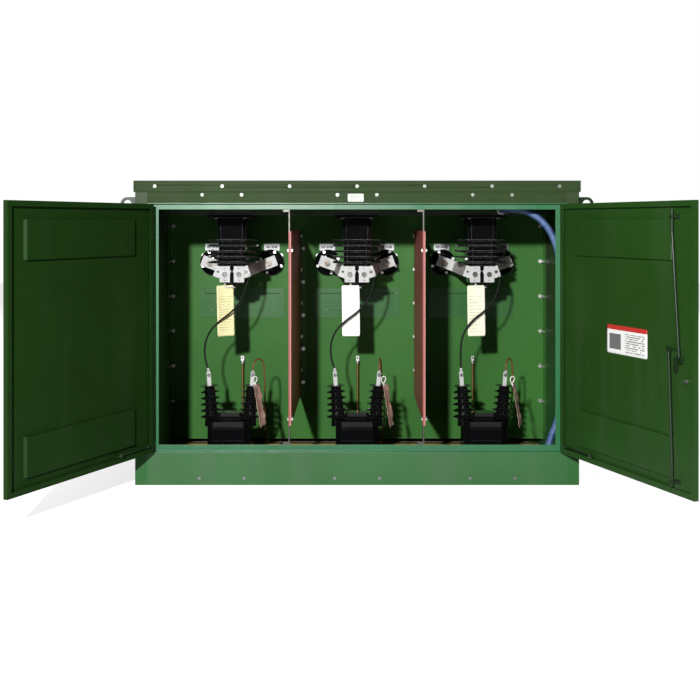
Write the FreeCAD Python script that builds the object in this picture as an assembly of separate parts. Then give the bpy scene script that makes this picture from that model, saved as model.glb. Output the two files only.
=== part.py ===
"""Pad-mounted metering cabinet: three phase compartments, each with a current transformer, a voltage
transformer, its bus bars, jumper and earth lead, behind a pair of front doors that stand open, and a
cable compartment behind a pair of rear doors that are shut.

Millimetres. +X is to the right seen from the front, the front faces -Y, +Z is up.
The origin is the centre of the base, on the ground."""
import FreeCAD
import Part
import math
import os

V = FreeCAD.Vector
X_AXIS, Y_AXIS, Z_AXIS = V(1, 0, 0), V(0, 1, 0), V(0, 0, 1)

# ---- driving dimensions ---------------------------------------------------------------------
WIDTH = 1800.0            # over the side walls
DEPTH = 1400.0            # over the front and rear faces
HEIGHT = 1234.0           # ground to roof
SHEET = 3.0               # cabinet steel
POST = 49.0               # flange of a side wall round each corner
ROOF_LIP = 46.0           # depth of the roof's skirt
ROOF_OVERHANG = 6.0
HEADER_LOW = 1143.0       # underside of the header
SILL_HIGH = 130.0         # top of the sill
LIP_DEPTH = 20.0          # how far the door frame's lip stands behind the face
JAMB = 834.0              # half width of the door opening
LIP_IN = 26.0             # width of the lip that the doors shut against
COMPARTMENT = 548.0       # spacing of the three phases
WALL_FRONT = 100.0        # front face of the wall between the compartments
WALL_LOW = 29.0

DOOR_GAP = 2.0            # half the gap between a pair of doors
DOOR_EDGE = 831.0         # hinge edge of a shut door
DOOR_LOW, DOOR_HIGH = 138.0, 1139.0
DOOR_DEPTH = 18.0
DOOR_LIP = 20.0
HINGE_X = 840.0           # hinge line from the middle
HINGE_OUT = 9.0           # hinge line in front of the face
HINGE_R = 8.0
PIN_R = 4.0
PIN_FIT = 0.05            # running clearance on the radius
LEFT_OPEN, RIGHT_OPEN = 114.8, 111.05    # degrees from shut, as the doors stand

LATCH_X, LATCH_Z = 96.0, 616.0           # latch spindle, with the door shut
LATCH_ARM = 30.0
LATCH_REST = 30.0         # degrees that the arm hangs below level when unlatched
SPINDLE_R = 8.0
ROD_R = 4.5

BOLT_R, SHELL_BOLT_R = 5.0, 4.0          # shank of an ordinary bolt, and of one through the shell
BOLT_FIT = 0.4            # clearance of a bolt in its hole, on the radius
CORE_FIT = 0.5            # clearance round an iron core in its casting
ANCHOR_X, ANCHOR_Y, ANCHOR_R = 865.0, 560.0, 9.0

FRONT, REAR = -DEPTH / 2, DEPTH / 2
SIDE_IN = WIDTH / 2 - SHEET
POST_IN = WIDTH / 2 - POST
FRAME_LIP_Z = (SILL_HIGH + SHEET + LIP_IN, HEADER_LOW - LIP_IN)     # between the two level lips
ROOF_UNDER = HEIGHT - SHEET
PHASES = (("left", -COMPARTMENT), ("middle", 0.0), ("right", COMPARTMENT))


# ---- small helpers --------------------------------------------------------------------------
def box(x0, x1, y0, y1, z0, z1):
    """A block between two corners given in any order."""
    low = V(min(x0, x1), min(y0, y1), min(z0, z1))
    return Part.makeBox(abs(x1 - x0), abs(y1 - y0), abs(z1 - z0), low)


def rod(radius, start, end):
    start, end = V(*start), V(*end)
    return Part.makeCylinder(radius, start.distanceToPoint(end), start, end - start)


def ring(outer, inner, start, end):
    return rod(outer, start, end).cut(rod(inner, start, end))


def fuse(shapes):
    shapes = list(shapes)
    whole = shapes[0] if len(shapes) == 1 else shapes[0].multiFuse(shapes[1:])
    return whole.removeSplitter()


def cut(shape, tools):
    tools = list(tools)
    return shape.cut(Part.makeCompound(tools)) if tools else shape


def flipped(shape, normal):
    """The mirror image through the origin's plane with that normal."""
    return shape.mirror(V(0, 0, 0), normal)


def turned(shape, at, axis, degrees):
    copy = shape.copy()
    copy.rotate(V(*at), axis, degrees)
    return copy


def moved(shape, x=0.0, y=0.0, z=0.0):
    copy = shape.copy()
    copy.translate(V(x, y, z))
    return copy


def outline(points, low, high):
    """A prism standing on a plan outline of (x, y) points."""
    corners = [V(x, y, low) for x, y in points]
    face = Part.Face(Part.makePolygon(corners + corners[:1]))
    return face.extrude(V(0, 0, high - low))


def turning(profile):
    """A solid of revolution about Z from (radius, height) points that start and end on the axis."""
    points = [V(r, 0, h) for r, h in profile]
    face = Part.Face(Part.makePolygon(points + points[:1]))
    return face.revolve(V(0, 0, 0), Z_AXIS, 360)


def aimed(shape, at, direction):
    """Turns a shape made up the Z axis to a direction, and puts its base at a point."""
    copy = shape.copy()
    copy.Placement = FreeCAD.Placement(V(*at), FreeCAD.Rotation(Z_AXIS, V(*direction)))
    return copy


def bolt(at, direction, radius=BOLT_R, grip=6.0, tail=7.0, nut=True):
    """A hexagon bolt with its head's seat at a point. Its shank runs along the direction."""
    across = radius * 1.9
    corners = [V(across * math.cos(math.radians(60 * k)), across * math.sin(math.radians(60 * k)), 0)
               for k in range(6)]
    hexagon = Part.Face(Part.makePolygon(corners + corners[:1]))
    pieces = [moved(hexagon.extrude(V(0, 0, radius * 1.1)), z=-radius * 1.1),
              Part.makeCylinder(radius, grip + tail)]
    if nut:
        pieces.append(moved(hexagon.extrude(V(0, 0, radius * 1.2)), z=grip))
    return aimed(fuse(pieces), at, direction)


def drill(at, direction, radius=BOLT_R, depth=60.0):
    """The hole for a bolt: it starts 20 mm before the seat."""
    hole = moved(Part.makeCylinder(radius + BOLT_FIT, depth + 20), z=-20)
    return aimed(hole, at, direction)


# ---- fastener places, shared by the sheets they hold and the bolts themselves --------------------
ROOF_PITCH = 273.0
ROOF_BOLT_Z = 1211.0
ROOF_BOLTS_FRONT = [ROOF_PITCH * k for k in range(-3, 4)]
ROOF_BOLTS_SIDE = [ROOF_PITCH * k for k in range(-2, 3)]
HEADER_BOLTS = [centre + side for _, centre in PHASES for side in (-80, 80)]
HEADER_BOLT_Z = 1176.0
SILL_BOLTS = [centre + side for _, centre in PHASES for side in (-91, 91)]
SILL_BOLT_Z = 28.0
WALL_EDGE_Z = [211.0 + 167.0 * k for k in range(6)]
WALL_EDGE_X, WALL_ANGLE_Y = 877.0, 78.0
SIDE_LEG_Y = [-420.0, 0.0, 420.0]


def shell_bolt_places():
    """(seat, direction, grip) of each bolt that holds the shell together."""
    places = []
    skirt = DEPTH / 2 + ROOF_OVERHANG
    for face in (-1, 1):
        inward = (0, -face, 0)
        places += [((x, face * skirt, ROOF_BOLT_Z), inward, 9.0) for x in ROOF_BOLTS_FRONT]
        places += [((x, face * DEPTH / 2, HEADER_BOLT_Z), inward, 3.0) for x in HEADER_BOLTS]
        places += [((x, face * DEPTH / 2, SILL_BOLT_Z), inward, 7.0) for x in SILL_BOLTS]
    for side in (-1, 1):
        inward = (-side, 0, 0)
        edge = side * (WIDTH / 2 + ROOF_OVERHANG)
        places += [((edge, y, ROOF_BOLT_Z), inward, 9.0) for y in ROOF_BOLTS_SIDE]
        places += [((side * WIDTH / 2, y, SILL_BOLT_Z), inward, 7.0) for y in SIDE_LEG_Y]
    return places


def side_wall_bolt_places(side):
    """Bolts through a side wall into the angle that carries the compartment wall."""
    return [((side * WIDTH / 2, WALL_ANGLE_Y, z), (-side, 0, 0)) for z in WALL_EDGE_Z]


def wall_edge_places():
    """Bolts through the edge of the compartment wall."""
    return [((side * WALL_EDGE_X, WALL_FRONT - SHEET, z), (0, 1, 0))
            for side in (-1, 1) for z in WALL_EDGE_Z]


def drills(places, depth=60.0):
    return [drill(place[0], place[1], depth=depth) for place in places]


def shell_drills(depth=60.0):
    return [drill(at, way, radius=SHELL_BOLT_R, depth=depth) for at, way, _ in shell_bolt_places()]


# ---- shell ----------------------------------------------------------------------------------
BASE_LEG, BASE_THICK = 60.0, 4.0


def base_frame():
    """Welded angle frame with its flange on the ground, turned inward, and four anchor holes."""
    x, y = SIDE_IN, DEPTH / 2 - SHEET
    outside = box(-x, x, -y, y, 0, BASE_LEG)
    legs = outside.cut(box(-x + BASE_THICK, x - BASE_THICK, -y + BASE_THICK, y - BASE_THICK,
                           BASE_THICK, BASE_LEG))
    inner = BASE_THICK + BASE_LEG
    frame = legs.cut(box(-x + inner, x - inner, -y + inner, y - inner, -1, BASE_LEG))
    anchors = [rod(ANCHOR_R, (sx * ANCHOR_X, sy * ANCHOR_Y, -1), (sx * ANCHOR_X, sy * ANCHOR_Y, 9))
               for sx in (-1, 1) for sy in (-1, 1)]
    return cut(frame, anchors + shell_drills())


LUG_Y, LUG_Z, LUG_OUT, LUG_R, LUG_HOLE, LUG_THICK = 654.0, 1140.0, 40.0, 28.0, 17.0, 12.0


def side_wall(side):
    """Side sheet with a flange round each corner post and along its top."""
    outer, inner = side * WIDTH / 2, side * SIDE_IN
    pieces = [box(outer, inner, FRONT, REAR, 0, ROOF_UNDER),
              box(inner, side * (SIDE_IN - 30), -650, 650, ROOF_UNDER - SHEET, ROOF_UNDER)]
    for face in (-1, 1):
        edge = face * DEPTH / 2
        pieces.append(box(outer, side * POST_IN, edge, edge - face * SHEET, 0, ROOF_UNDER))
        pieces.append(box(side * POST_IN, side * (POST_IN + SHEET), edge, edge - face * 25,
                          BASE_LEG + 4, ROOF_UNDER))
    places = side_wall_bolt_places(side) + channel_bolt_places(side)
    return cut(fuse(pieces), shell_drills(depth=25) + drills(places, depth=25))


def roof_cap():
    x, y = WIDTH / 2 + ROOF_OVERHANG, DEPTH / 2 + ROOF_OVERHANG
    cap = box(-x, x, -y, y, HEIGHT - ROOF_LIP, HEIGHT)
    cap = cap.cut(box(-x + SHEET, x - SHEET, -y + SHEET, y - SHEET, 0, ROOF_UNDER))
    return cut(cap, shell_drills(depth=25))


def header(face):
    """Channel over the doors, between the corner posts."""
    outer, back = face * DEPTH / 2, face * (DEPTH / 2 - 45)
    inner = outer - face * SHEET
    pieces = [box(-POST_IN, POST_IN, outer, inner, HEADER_LOW, ROOF_UNDER),
              box(-POST_IN, POST_IN, inner, back, HEADER_LOW, HEADER_LOW + SHEET),
              box(-POST_IN, POST_IN, inner, back, ROOF_UNDER - SHEET, ROOF_UNDER)]
    return cut(fuse(pieces), shell_drills(depth=25))


def sill(face):
    """Panel under the doors, with its top turned in."""
    outer, back = face * DEPTH / 2, face * (DEPTH / 2 - 45)
    inner = outer - face * SHEET
    pieces = [box(-POST_IN, POST_IN, outer, inner, 0, SILL_HIGH),
              box(-POST_IN, POST_IN, inner, back, SILL_HIGH - SHEET, SILL_HIGH)]
    return cut(fuse(pieces), shell_drills(depth=25))


def door_frame(face):
    """Picture frame of folded sheet: a leg into the cabinet and a lip that the doors shut on."""
    outer, lip = face * DEPTH / 2, face * (DEPTH / 2 - LIP_DEPTH)
    step = face * SHEET
    inner = outer - step
    top, low = HEADER_LOW, SILL_HIGH
    lip_low, lip_high = FRAME_LIP_Z
    lip_back = lip - step
    pieces = []
    for side in (-1, 1):
        pieces.append(box(side * JAMB, side * POST_IN, outer, inner, low, top))
        pieces.append(box(side * JAMB, side * (JAMB + SHEET), outer, lip_back, low, top))
        pieces.append(box(side * (JAMB - LIP_IN), side * (JAMB + SHEET), lip, lip_back, low, top))
    wide = JAMB + SHEET
    pieces += [box(-wide, wide, outer, lip_back, top - SHEET, top),
               box(-wide, wide, lip, lip_back, lip_high, top),
               box(-wide, wide, outer, lip_back, low, low + SHEET),
               box(-wide, wide, lip, lip_back, low, lip_low)]
    return fuse(pieces)


def lifting_lugs():
    """Four eye plates on the side walls, with the eye along Y."""
    lugs = []
    for side in (-1, 1):
        for face in (-1, 1):
            y0, y1 = face * LUG_Y - LUG_THICK / 2, face * LUG_Y + LUG_THICK / 2
            eye = side * (WIDTH / 2 + LUG_OUT)
            plate = fuse([box(side * WIDTH / 2, eye, y0, y1, LUG_Z - LUG_R, LUG_Z + LUG_R),
                          rod(LUG_R, (eye, y0, LUG_Z), (eye, y1, LUG_Z))])
            lugs.append(plate.cut(rod(LUG_HOLE, (eye, y0 - 1, LUG_Z), (eye, y1 + 1, LUG_Z))))
    return Part.makeCompound(lugs)


# ---- wall between the compartments --------------------------------------------------------------
BUSHING_X, BUSHING_Z = 138.0, 874.0
BUSHING_HOLE = 36.0
CLAMP_PITCH_R = 52.0
CLAMP_ANGLES = (-20.0, 70.0, 160.0, 250.0)      # on the line side, and mirrored on the load side
PLUG_X, PLUG_Z = 186.0, 907.0
COVER_X, COVER_LOW, COVER_HIGH = 203.0, 609.0, 750.0
COVER_SCREWS = ((187.0, 724.0), (145.0, 647.0))
BAR_TILT = 20.0           # slope of the bus bars, rising outward


def bushing_centres():
    return [(centre + side * BUSHING_X, BUSHING_Z) for _, centre in PHASES for side in (-1, 1)]


def clamp_points(centre, side):
    """Bolt centres of one bushing's clamp ring."""
    angles = [math.radians(angle) for angle in CLAMP_ANGLES]
    return [(centre + side * (BUSHING_X + CLAMP_PITCH_R * math.cos(a)),
             BUSHING_Z + CLAMP_PITCH_R * math.sin(a)) for a in angles]


def clamp_places():
    """Seat of each clamp bolt, on the front of a clamp ring."""
    return [((x, 80.0, z), (0, 1, 0))
            for _, centre in PHASES for side in (-1, 1) for x, z in clamp_points(centre, side)]


def plug_places():
    return [((centre + side * PLUG_X, WALL_FRONT, PLUG_Z), (0, 1, 0))
            for _, centre in PHASES for side in (-1, 1)]


def cover_screw_places():
    return [((centre + side * x, WALL_FRONT - 2, z), (0, 1, 0))
            for _, centre in PHASES for side in (-1, 1) for x, z in COVER_SCREWS]


def barrier_wall_places():
    """Bolts from each barrier's rear angle into the wall."""
    return [((b + 18.0, WALL_FRONT - SHEET, z), (0, 1, 0)) for b in BARRIERS for z in BARRIER_BOLT_Z]


def compartment_wall():
    wall = box(-SIDE_IN + 4, SIDE_IN - 4, WALL_FRONT, WALL_FRONT + SHEET, WALL_LOW, 1220)
    flange = box(-SIDE_IN + 4, SIDE_IN - 4, WALL_FRONT, WALL_FRONT + 30, 1220 - SHEET, 1220)
    holes = [rod(BUSHING_HOLE, (x, WALL_FRONT - 5, z), (x, WALL_FRONT + 8, z))
             for x, z in bushing_centres()]
    holes += drills(wall_edge_places() + plug_places() + barrier_wall_places(), depth=25)
    holes += [drill(*place, radius=4.0, depth=40) for place in clamp_places()]
    holes += [drill(*place, radius=2.5, depth=15) for place in cover_screw_places()]
    return cut(fuse([wall, flange]), holes)


def wall_angles():
    """Angle down each side wall that the compartment wall is bolted to."""
    angles = []
    for side in (-1, 1):
        shape = fuse([box(side * SIDE_IN, side * 857, WALL_FRONT - SHEET, WALL_FRONT, 64, 1217),
                      box(side * SIDE_IN, side * (SIDE_IN - SHEET), 60, WALL_FRONT, 64, 1217)])
        angles.append(cut(shape, drills(wall_edge_places() + side_wall_bolt_places(side), depth=25)))
    return Part.makeCompound(angles)


def cover_plates():
    """Removable plate over the hand hole of each phase."""
    plates = []
    for _, centre in PHASES:
        plate = box(centre - COVER_X, centre + COVER_X, WALL_FRONT - 2, WALL_FRONT, COVER_LOW, COVER_HIGH)
        plates.append(cut(plate, [drill(*p, radius=2.5, depth=15) for p in cover_screw_places()]))
    return Part.makeCompound(plates)


# ---- insulating barriers between the phases ---------------------------------------------------
BARRIERS = (-COMPARTMENT / 2, COMPARTMENT / 2)
BARRIER_THICK = 5.0
BARRIER_FRONT = -673.0
BARRIER_LOW, BARRIER_HIGH = 235.0, 1028.0
BARRIER_BOLT_Z = [300.0 + 160.0 * k for k in range(5)]
STRIP_BOLT_Z = (260.0, 950.0)
STRIP_THICK, STRIP_WIDE = 6.0, 30.0
LIP_CLEAR = 4.0           # height left between a strip's end and the lip of a shut door
FOOT_WIDE = 28.0


def barrier_cross_places(b):
    """Bolts across a barrier: two in its front strip, the rest in its rear angle."""
    front = [((b - STRIP_THICK, BARRIER_FRONT + 15, z), (1, 0, 0)) for z in STRIP_BOLT_Z]
    rear = [((b, WALL_FRONT - 16, z + 60), (1, 0, 0)) for z in BARRIER_BOLT_Z]
    return front, rear


def phase_barriers():
    """Two glass-reinforced sheets, each with the upper rear corner cut off."""
    sheets = []
    for b in BARRIERS:
        sheet = box(b, b + BARRIER_THICK, BARRIER_FRONT, WALL_FRONT - SHEET, BARRIER_LOW, BARRIER_HIGH)
        corner = outline([(40, -40), (40, 40), (-40, 40)], 0, BARRIER_THICK + 4)
        corner.rotate(V(0, 0, 0), Y_AXIS, -90)
        corner.translate(V(b + BARRIER_THICK + 2, WALL_FRONT - SHEET, BARRIER_HIGH))
        front, rear = barrier_cross_places(b)
        sheets.append(cut(sheet, [corner] + drills(front + rear, depth=25)))
    return Part.makeCompound(sheets)


def barrier_supports():
    """Front strip and rear angle of each barrier."""
    supports = []
    foot_y = FRONT + LIP_DEPTH + SHEET
    low, high = DOOR_LOW + DOOR_LIP + LIP_CLEAR, DOOR_HIGH - DOOR_LIP - LIP_CLEAR
    for b in BARRIERS:
        front, rear = barrier_cross_places(b)
        strip = box(b - STRIP_THICK, b, BARRIER_FRONT, BARRIER_FRONT + STRIP_WIDE, low, high)
        foot = (b - FOOT_WIDE, b, foot_y, BARRIER_FRONT + SHEET)
        feet = [box(*foot, SILL_HIGH + SHEET, low + 8), box(*foot, high - 8, HEADER_LOW - SHEET)]
        supports.append(cut(fuse([strip] + feet), drills(front, depth=25)))
        side = b + BARRIER_THICK
        angle = fuse([box(side, side + 26, WALL_FRONT - SHEET, WALL_FRONT, BARRIER_LOW, BARRIER_HIGH - 50),
                      box(side, side + SHEET, WALL_FRONT - 30, WALL_FRONT, BARRIER_LOW, BARRIER_HIGH - 50)])
        supports.append(cut(angle, drills(rear + barrier_wall_places(), depth=25)))
    return Part.makeCompound(supports)


# ---- channels that carry the instrument transformers ----------------------------------------------
CHANNEL, CHANNEL_THICK = 41.0, 3.0
CT_CHANNEL_Y = (-416.0, -146.0)          # front edge of each
CT_CHANNEL_LOW = 1097.0
VT_CHANNEL_Y = (-542.0, -280.0)
VT_CHANNEL_LOW = 16.0
VT_SEAT = VT_CHANNEL_LOW + CHANNEL
CT_BOLT_X, VT_BOLT_X = 62.0, 70.0


def channel_bolt_places(side):
    """Two bolts from outside into each end plate of the upper channels."""
    return [((side * WIDTH / 2, y + CHANNEL / 2 + dy, CT_CHANNEL_LOW + 20), (-side, 0, 0))
            for y in CT_CHANNEL_Y for dy in (-33, 33)]


def ct_bolt_places():
    return [((centre + dx, y + CHANNEL / 2, CT_CHANNEL_LOW - 12), (0, 0, 1))
            for _, centre in PHASES for y in CT_CHANNEL_Y for dx in (-CT_BOLT_X, CT_BOLT_X)]


def vt_bolt_places():
    return [((centre + dx, y + CHANNEL / 2, VT_SEAT + 8), (0, 0, -1))
            for _, centre in PHASES for y in VT_CHANNEL_Y for dx in (-VT_BOLT_X, VT_BOLT_X)]


def channel(reach, y, low, web_low):
    """Folded channel across the cabinet, open upward or downward."""
    outside = box(-reach, reach, y, y + CHANNEL, low, low + CHANNEL)
    shift = CHANNEL_THICK if web_low else -CHANNEL_THICK
    inside = box(-reach, reach, y + CHANNEL_THICK, y + CHANNEL - CHANNEL_THICK,
                 low + shift, low + CHANNEL + shift)
    return outside.cut(inside)


def mounting_channels():
    channels = []
    for y in CT_CHANNEL_Y:
        body = channel(SIDE_IN, y, CT_CHANNEL_LOW, web_low=True)
        ends = [box(side * SIDE_IN, side * (SIDE_IN - SHEET), y - 22, y + CHANNEL + 22,
                    CT_CHANNEL_LOW, CT_CHANNEL_LOW + CHANNEL) for side in (-1, 1)]
        holes = drills(ct_bolt_places() + channel_bolt_places(-1) + channel_bolt_places(1), depth=25)
        if y == CT_CHANNEL_Y[0]:
            holes.append(rod(11.0, (CONDUIT_X, y - 1, CONDUIT_Z), (CONDUIT_X, y + 5, CONDUIT_Z)))
        channels.append(cut(fuse([body] + ends), holes))
    for y in VT_CHANNEL_Y:
        body = channel(SIDE_IN - BASE_THICK, y, VT_CHANNEL_LOW, web_low=False)
        feet = [box(side * (SIDE_IN - BASE_THICK), side * (SIDE_IN - 60), y, y + CHANNEL,
                    BASE_THICK, BASE_THICK + SHEET) for side in (-1, 1)]
        posts = [box(side * (SIDE_IN - BASE_THICK), side * (SIDE_IN - BASE_THICK - SHEET), y,
                     y + CHANNEL, BASE_THICK, VT_CHANNEL_LOW + CHANNEL) for side in (-1, 1)]
        channels.append(cut(fuse([body] + feet + posts), drills(vt_bolt_places(), depth=25)))
    return Part.makeCompound(channels)


# ---- current transformer ------------------------------------------------------------------------
CT_FRONT, CT_REAR = -336.0, -180.0       # casting behind the terminal pads
CT_MID_Y = (CT_FRONT + CT_REAR) / 2
PAD_X, PAD_WIDE, PAD_LOW, PAD_HIGH, PAD_THICK = 31.0, 45.5, 802.0, 872.0, 6.0
BAR_WIDE, BAR_THICK = 50.0, 6.0
PAD_BOLT_Z = 837.0
CT_SHED_LOW, CT_SHED_PITCH, CT_SHEDS = 885.0, 24.5, 5
PAD_FACE = CT_FRONT - BAR_THICK - PAD_THICK


def chamfered(half_x, y0, y1, corner, low, high):
    """Prism with a rectangular plan and its four upright edges cut back."""
    points = [(half_x, y0 + corner), (half_x, y1 - corner), (half_x - corner, y1),
              (-half_x + corner, y1), (-half_x, y1 - corner), (-half_x, y0 + corner),
              (-half_x + corner, y0), (half_x - corner, y0)]
    return outline(points, low, high)


CT_CORE_R, CT_CORE_HOLE, CT_CORE_HALF, CT_CORE_Z = 36.0, 15.0, 55.0, 1036.0


def ct_core():
    y0, y1 = CT_MID_Y - CT_CORE_HALF, CT_MID_Y + CT_CORE_HALF
    return ring(CT_CORE_R, CT_CORE_HOLE, (0, y0, CT_CORE_Z), (0, y1, CT_CORE_Z))


def current_transformer():
    """Cast body hung by its base: ribbed skirt, tapered block and the boss that carries the pads."""
    deep = (CT_FRONT - 24, CT_REAR + 20)
    pieces = [chamfered(95, CT_CHANNEL_Y[0] - 4, CT_CHANNEL_Y[1] + CHANNEL + 4, 12,
                        CT_CHANNEL_LOW - 12, CT_CHANNEL_LOW),
              chamfered(62, deep[0], deep[1], 14, 985, CT_CHANNEL_LOW - 12),
              chamfered(58, deep[0] + 8, deep[1] - 8, 16, PAD_HIGH + 4, 985),
              chamfered(54, CT_FRONT, CT_REAR, 10, PAD_LOW - 4, PAD_HIGH + 4),
              chamfered(36, CT_FRONT + 14, CT_REAR - 14, 10, PAD_LOW - 17, PAD_LOW - 4)]
    for k in range(CT_SHEDS):
        z = CT_SHED_LOW + CT_SHED_PITCH * k
        pieces.append(chamfered(105, deep[0] - 10, deep[1] + 10, 44, z, z + 7))
    fit = CORE_FIT
    cavity = ring(CT_CORE_R + fit, CT_CORE_HOLE - fit, (0, CT_MID_Y - CT_CORE_HALF - fit, CT_CORE_Z),
                  (0, CT_MID_Y + CT_CORE_HALF + fit, CT_CORE_Z))
    holes = [cavity]
    holes += [drill((side * PAD_X, PAD_FACE, PAD_BOLT_Z), (0, 1, 0), radius=6.5, depth=34)
              for side in (-1, 1)]
    holes += [drill((dx, y + CHANNEL / 2, CT_CHANNEL_LOW - 12), (0, 0, 1), depth=20)
              for y in CT_CHANNEL_Y for dx in (-CT_BOLT_X, CT_BOLT_X)]
    return cut(fuse(pieces), holes)


def ct_terminals():
    """Tinned pads, clamped over the ends of the bus bars."""
    pads = []
    for _, centre in PHASES:
        for side in (-1, 1):
            x = centre + side * PAD_X
            pad = box(x - PAD_WIDE / 2, x + PAD_WIDE / 2, PAD_FACE, PAD_FACE + PAD_THICK,
                      PAD_LOW, PAD_HIGH)
            holes = [drill((x, PAD_FACE, PAD_BOLT_Z), (0, 1, 0), radius=6.5)]
            holes += [rod(5.0, (x, PAD_FACE - 1, z), (x, PAD_FACE + 9, z)) for z in (813.5, 860.5)]
            pads.append(cut(pad, holes))
    return Part.makeCompound(pads)


BAR_NEAR_Y, BAR_FAR_Y = CT_FRONT - BAR_THICK / 2, -44.0
BAR_TAB, BAR_RUN, BAR_END = 76.0, 100.0, 182.0
JUMPER_LUG_X = 62.0


def flat_bar(path, thick, low, high):
    """Bar bent on edge along a plan path, with mitred bends."""
    half = thick / 2
    headings = [(b[0] - a[0], b[1] - a[1]) for a, b in zip(path, path[1:])]
    normals = [(-hy / math.hypot(hx, hy), hx / math.hypot(hx, hy)) for hx, hy in headings]
    left = []
    right = []
    for k, (x, y) in enumerate(path):
        before, after = normals[max(k - 1, 0)], normals[min(k, len(normals) - 1)]
        nx, ny = before[0] + after[0], before[1] + after[1]
        scale = 2 * half / (nx * nx + ny * ny)
        left.append((x + nx * scale, y + ny * scale))
        right.append((x - nx * scale, y - ny * scale))
    return outline(left + right[::-1], low, high)


def tilt_point(x):
    """Height of the middle of a sloping bar at a distance from its compartment's centre."""
    return PAD_BOLT_Z + math.tan(math.radians(BAR_TILT)) * (x - PAD_X)


def bus_bar(side):
    """Tinned copper bar from a pad back to its bushing, in the middle compartment."""
    path = [(10, BAR_NEAR_Y), (BAR_TAB, BAR_NEAR_Y), (BAR_RUN, BAR_FAR_Y), (BAR_END, BAR_FAR_Y)]
    bar = flat_bar(path, BAR_THICK, PAD_BOLT_Z - BAR_WIDE / 2, PAD_BOLT_Z + BAR_WIDE / 2)
    bar = turned(bar, (PAD_X, 0, PAD_BOLT_Z), Y_AXIS, -BAR_TILT)
    bar = cut(bar, [drill((PAD_X, PAD_FACE, PAD_BOLT_Z), (0, 1, 0), radius=6.5, depth=20),
                    rod(STUD_R + BOLT_FIT, (BUSHING_X, BAR_FAR_Y - 9, BUSHING_Z),
                        (BUSHING_X, BAR_FAR_Y + 9, BUSHING_Z)),
                    rod(4.0 + BOLT_FIT, (JUMPER_LUG_X, BAR_NEAR_Y - 9, tilt_point(JUMPER_LUG_X)),
                        (JUMPER_LUG_X, BAR_NEAR_Y + 9, tilt_point(JUMPER_LUG_X)))])
    return bar if side > 0 else flipped(bar, X_AXIS)


def bus_bars():
    return Part.makeCompound([moved(bus_bar(side), x=centre) for _, centre in PHASES for side in (-1, 1)])


# ---- wall bushing -------------------------------------------------------------------------------
STUD_R, STUD_CORE_R = 8.0, 9.0            # threaded ends, and the stretch cast into the bushing
BUSHING_FACE, BUSHING_END, STUD_END = -41.0, 262.0, 302.0
STUD_FRONT = -64.0


def wall_bushings():
    """Cast bushing through the wall, with a flange against its front face and a bore for its stud."""
    profile = [(0, BUSHING_FACE), (24, BUSHING_FACE), (27, 20), (38, 70), (38, 88), (45, 88),
               (45, WALL_FRONT), (35, WALL_FRONT), (35, 140), (25, BUSHING_END), (0, BUSHING_END)]
    solid = turning(profile).cut(rod(STUD_CORE_R, (0, 0, BUSHING_FACE - 1), (0, 0, BUSHING_END + 1)))
    return Part.makeCompound([aimed(solid, (x, 0, z), (0, 1, 0)) for x, z in bushing_centres()])


def bushing_clamps():
    """Four-legged ring that holds a bushing's flange to the wall."""
    clamps = []
    for _, centre in PHASES:
        for side in (-1, 1):
            at = centre + side * BUSHING_X
            points = clamp_points(centre, side)
            plate = ring(62, 38.4, (at, 80, BUSHING_Z), (at, 88, BUSHING_Z))
            legs = [rod(6.4, (x, 84, z), (x, WALL_FRONT, z)) for x, z in points]
            holes = [drill((x, 80.0, z), (0, 1, 0), radius=4.0, depth=40) for x, z in points]
            clamps.append(cut(fuse([plate] + legs), holes))
    return Part.makeCompound(clamps)


def terminal_bolts():
    """Studs through the bushings with their nuts, and the bolts of the pads and lugs."""
    pieces = []
    for x, z in bushing_centres():
        nut = bolt((x, BAR_FAR_Y - BAR_THICK / 2, z), (0, 1, 0), radius=STUD_R, grip=0.1, tail=0,
                   nut=False)
        stud = rod(STUD_R, (x, STUD_FRONT, z), (x, STUD_END, z))
        core = rod(STUD_CORE_R, (x, BUSHING_FACE, z), (x, BUSHING_END, z))
        pieces.append(fuse([stud, core, nut]))
    for _, centre in PHASES:
        for side in (-1, 1):
            pieces.append(bolt((centre + side * PAD_X, PAD_FACE, PAD_BOLT_Z), (0, 1, 0), radius=6.5,
                               grip=26, tail=4, nut=False))
        pieces.append(bolt((centre + JUMPER_LUG_X, JUMPER_LUG_Y, tilt_point(JUMPER_LUG_X)),
                           (0, 1, 0), radius=4.0, grip=3 + BAR_THICK, tail=3))
        for side in (-1, 1):
            local = bolt((0, -TERMINAL_THICK / 2 - 3, TERMINAL_HOLE), (0, 1, 0), radius=4.0,
                         grip=3 + TERMINAL_THICK, tail=3)
            pieces.append(on_vt_bushing(local, centre, side))
    return Part.makeCompound(pieces)


# ---- voltage transformer ------------------------------------------------------------------------
VT_FRONT, VT_REAR = -489.0, -290.0
VT_MID_Y = -388.0
VT_HALF, VT_CORNER = 91.0, 26.0
VT_SADDLE = 243.0
VT_LEAN = 4.5
VT_ROOT_X, VT_ROOT_Z = 80.0, 205.0       # where the bushing's axis meets the block
VT_NECK = 152.0                          # length of a bushing from there
VT_SHED_LOW, VT_SHED_PITCH, VT_SHEDS = 20.0, 26.4, 6
VT_SHED_R, VT_SHED_TOP_R = 49.0, 38.6
TERMINAL_WIDE, TERMINAL_THICK, TERMINAL_HOLE = 17.0, 5.0, VT_NECK + 47.0
TERMINAL_TOP = VT_NECK + 58.0


def on_vt_bushing(shape, centre, side):
    """Puts a shape made about Z on the leaning axis of one bushing."""
    copy = turned(shape, (0, 0, 0), Y_AXIS, side * VT_LEAN)
    return moved(copy, centre + side * VT_ROOT_X, VT_MID_Y, VT_ROOT_Z)


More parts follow.
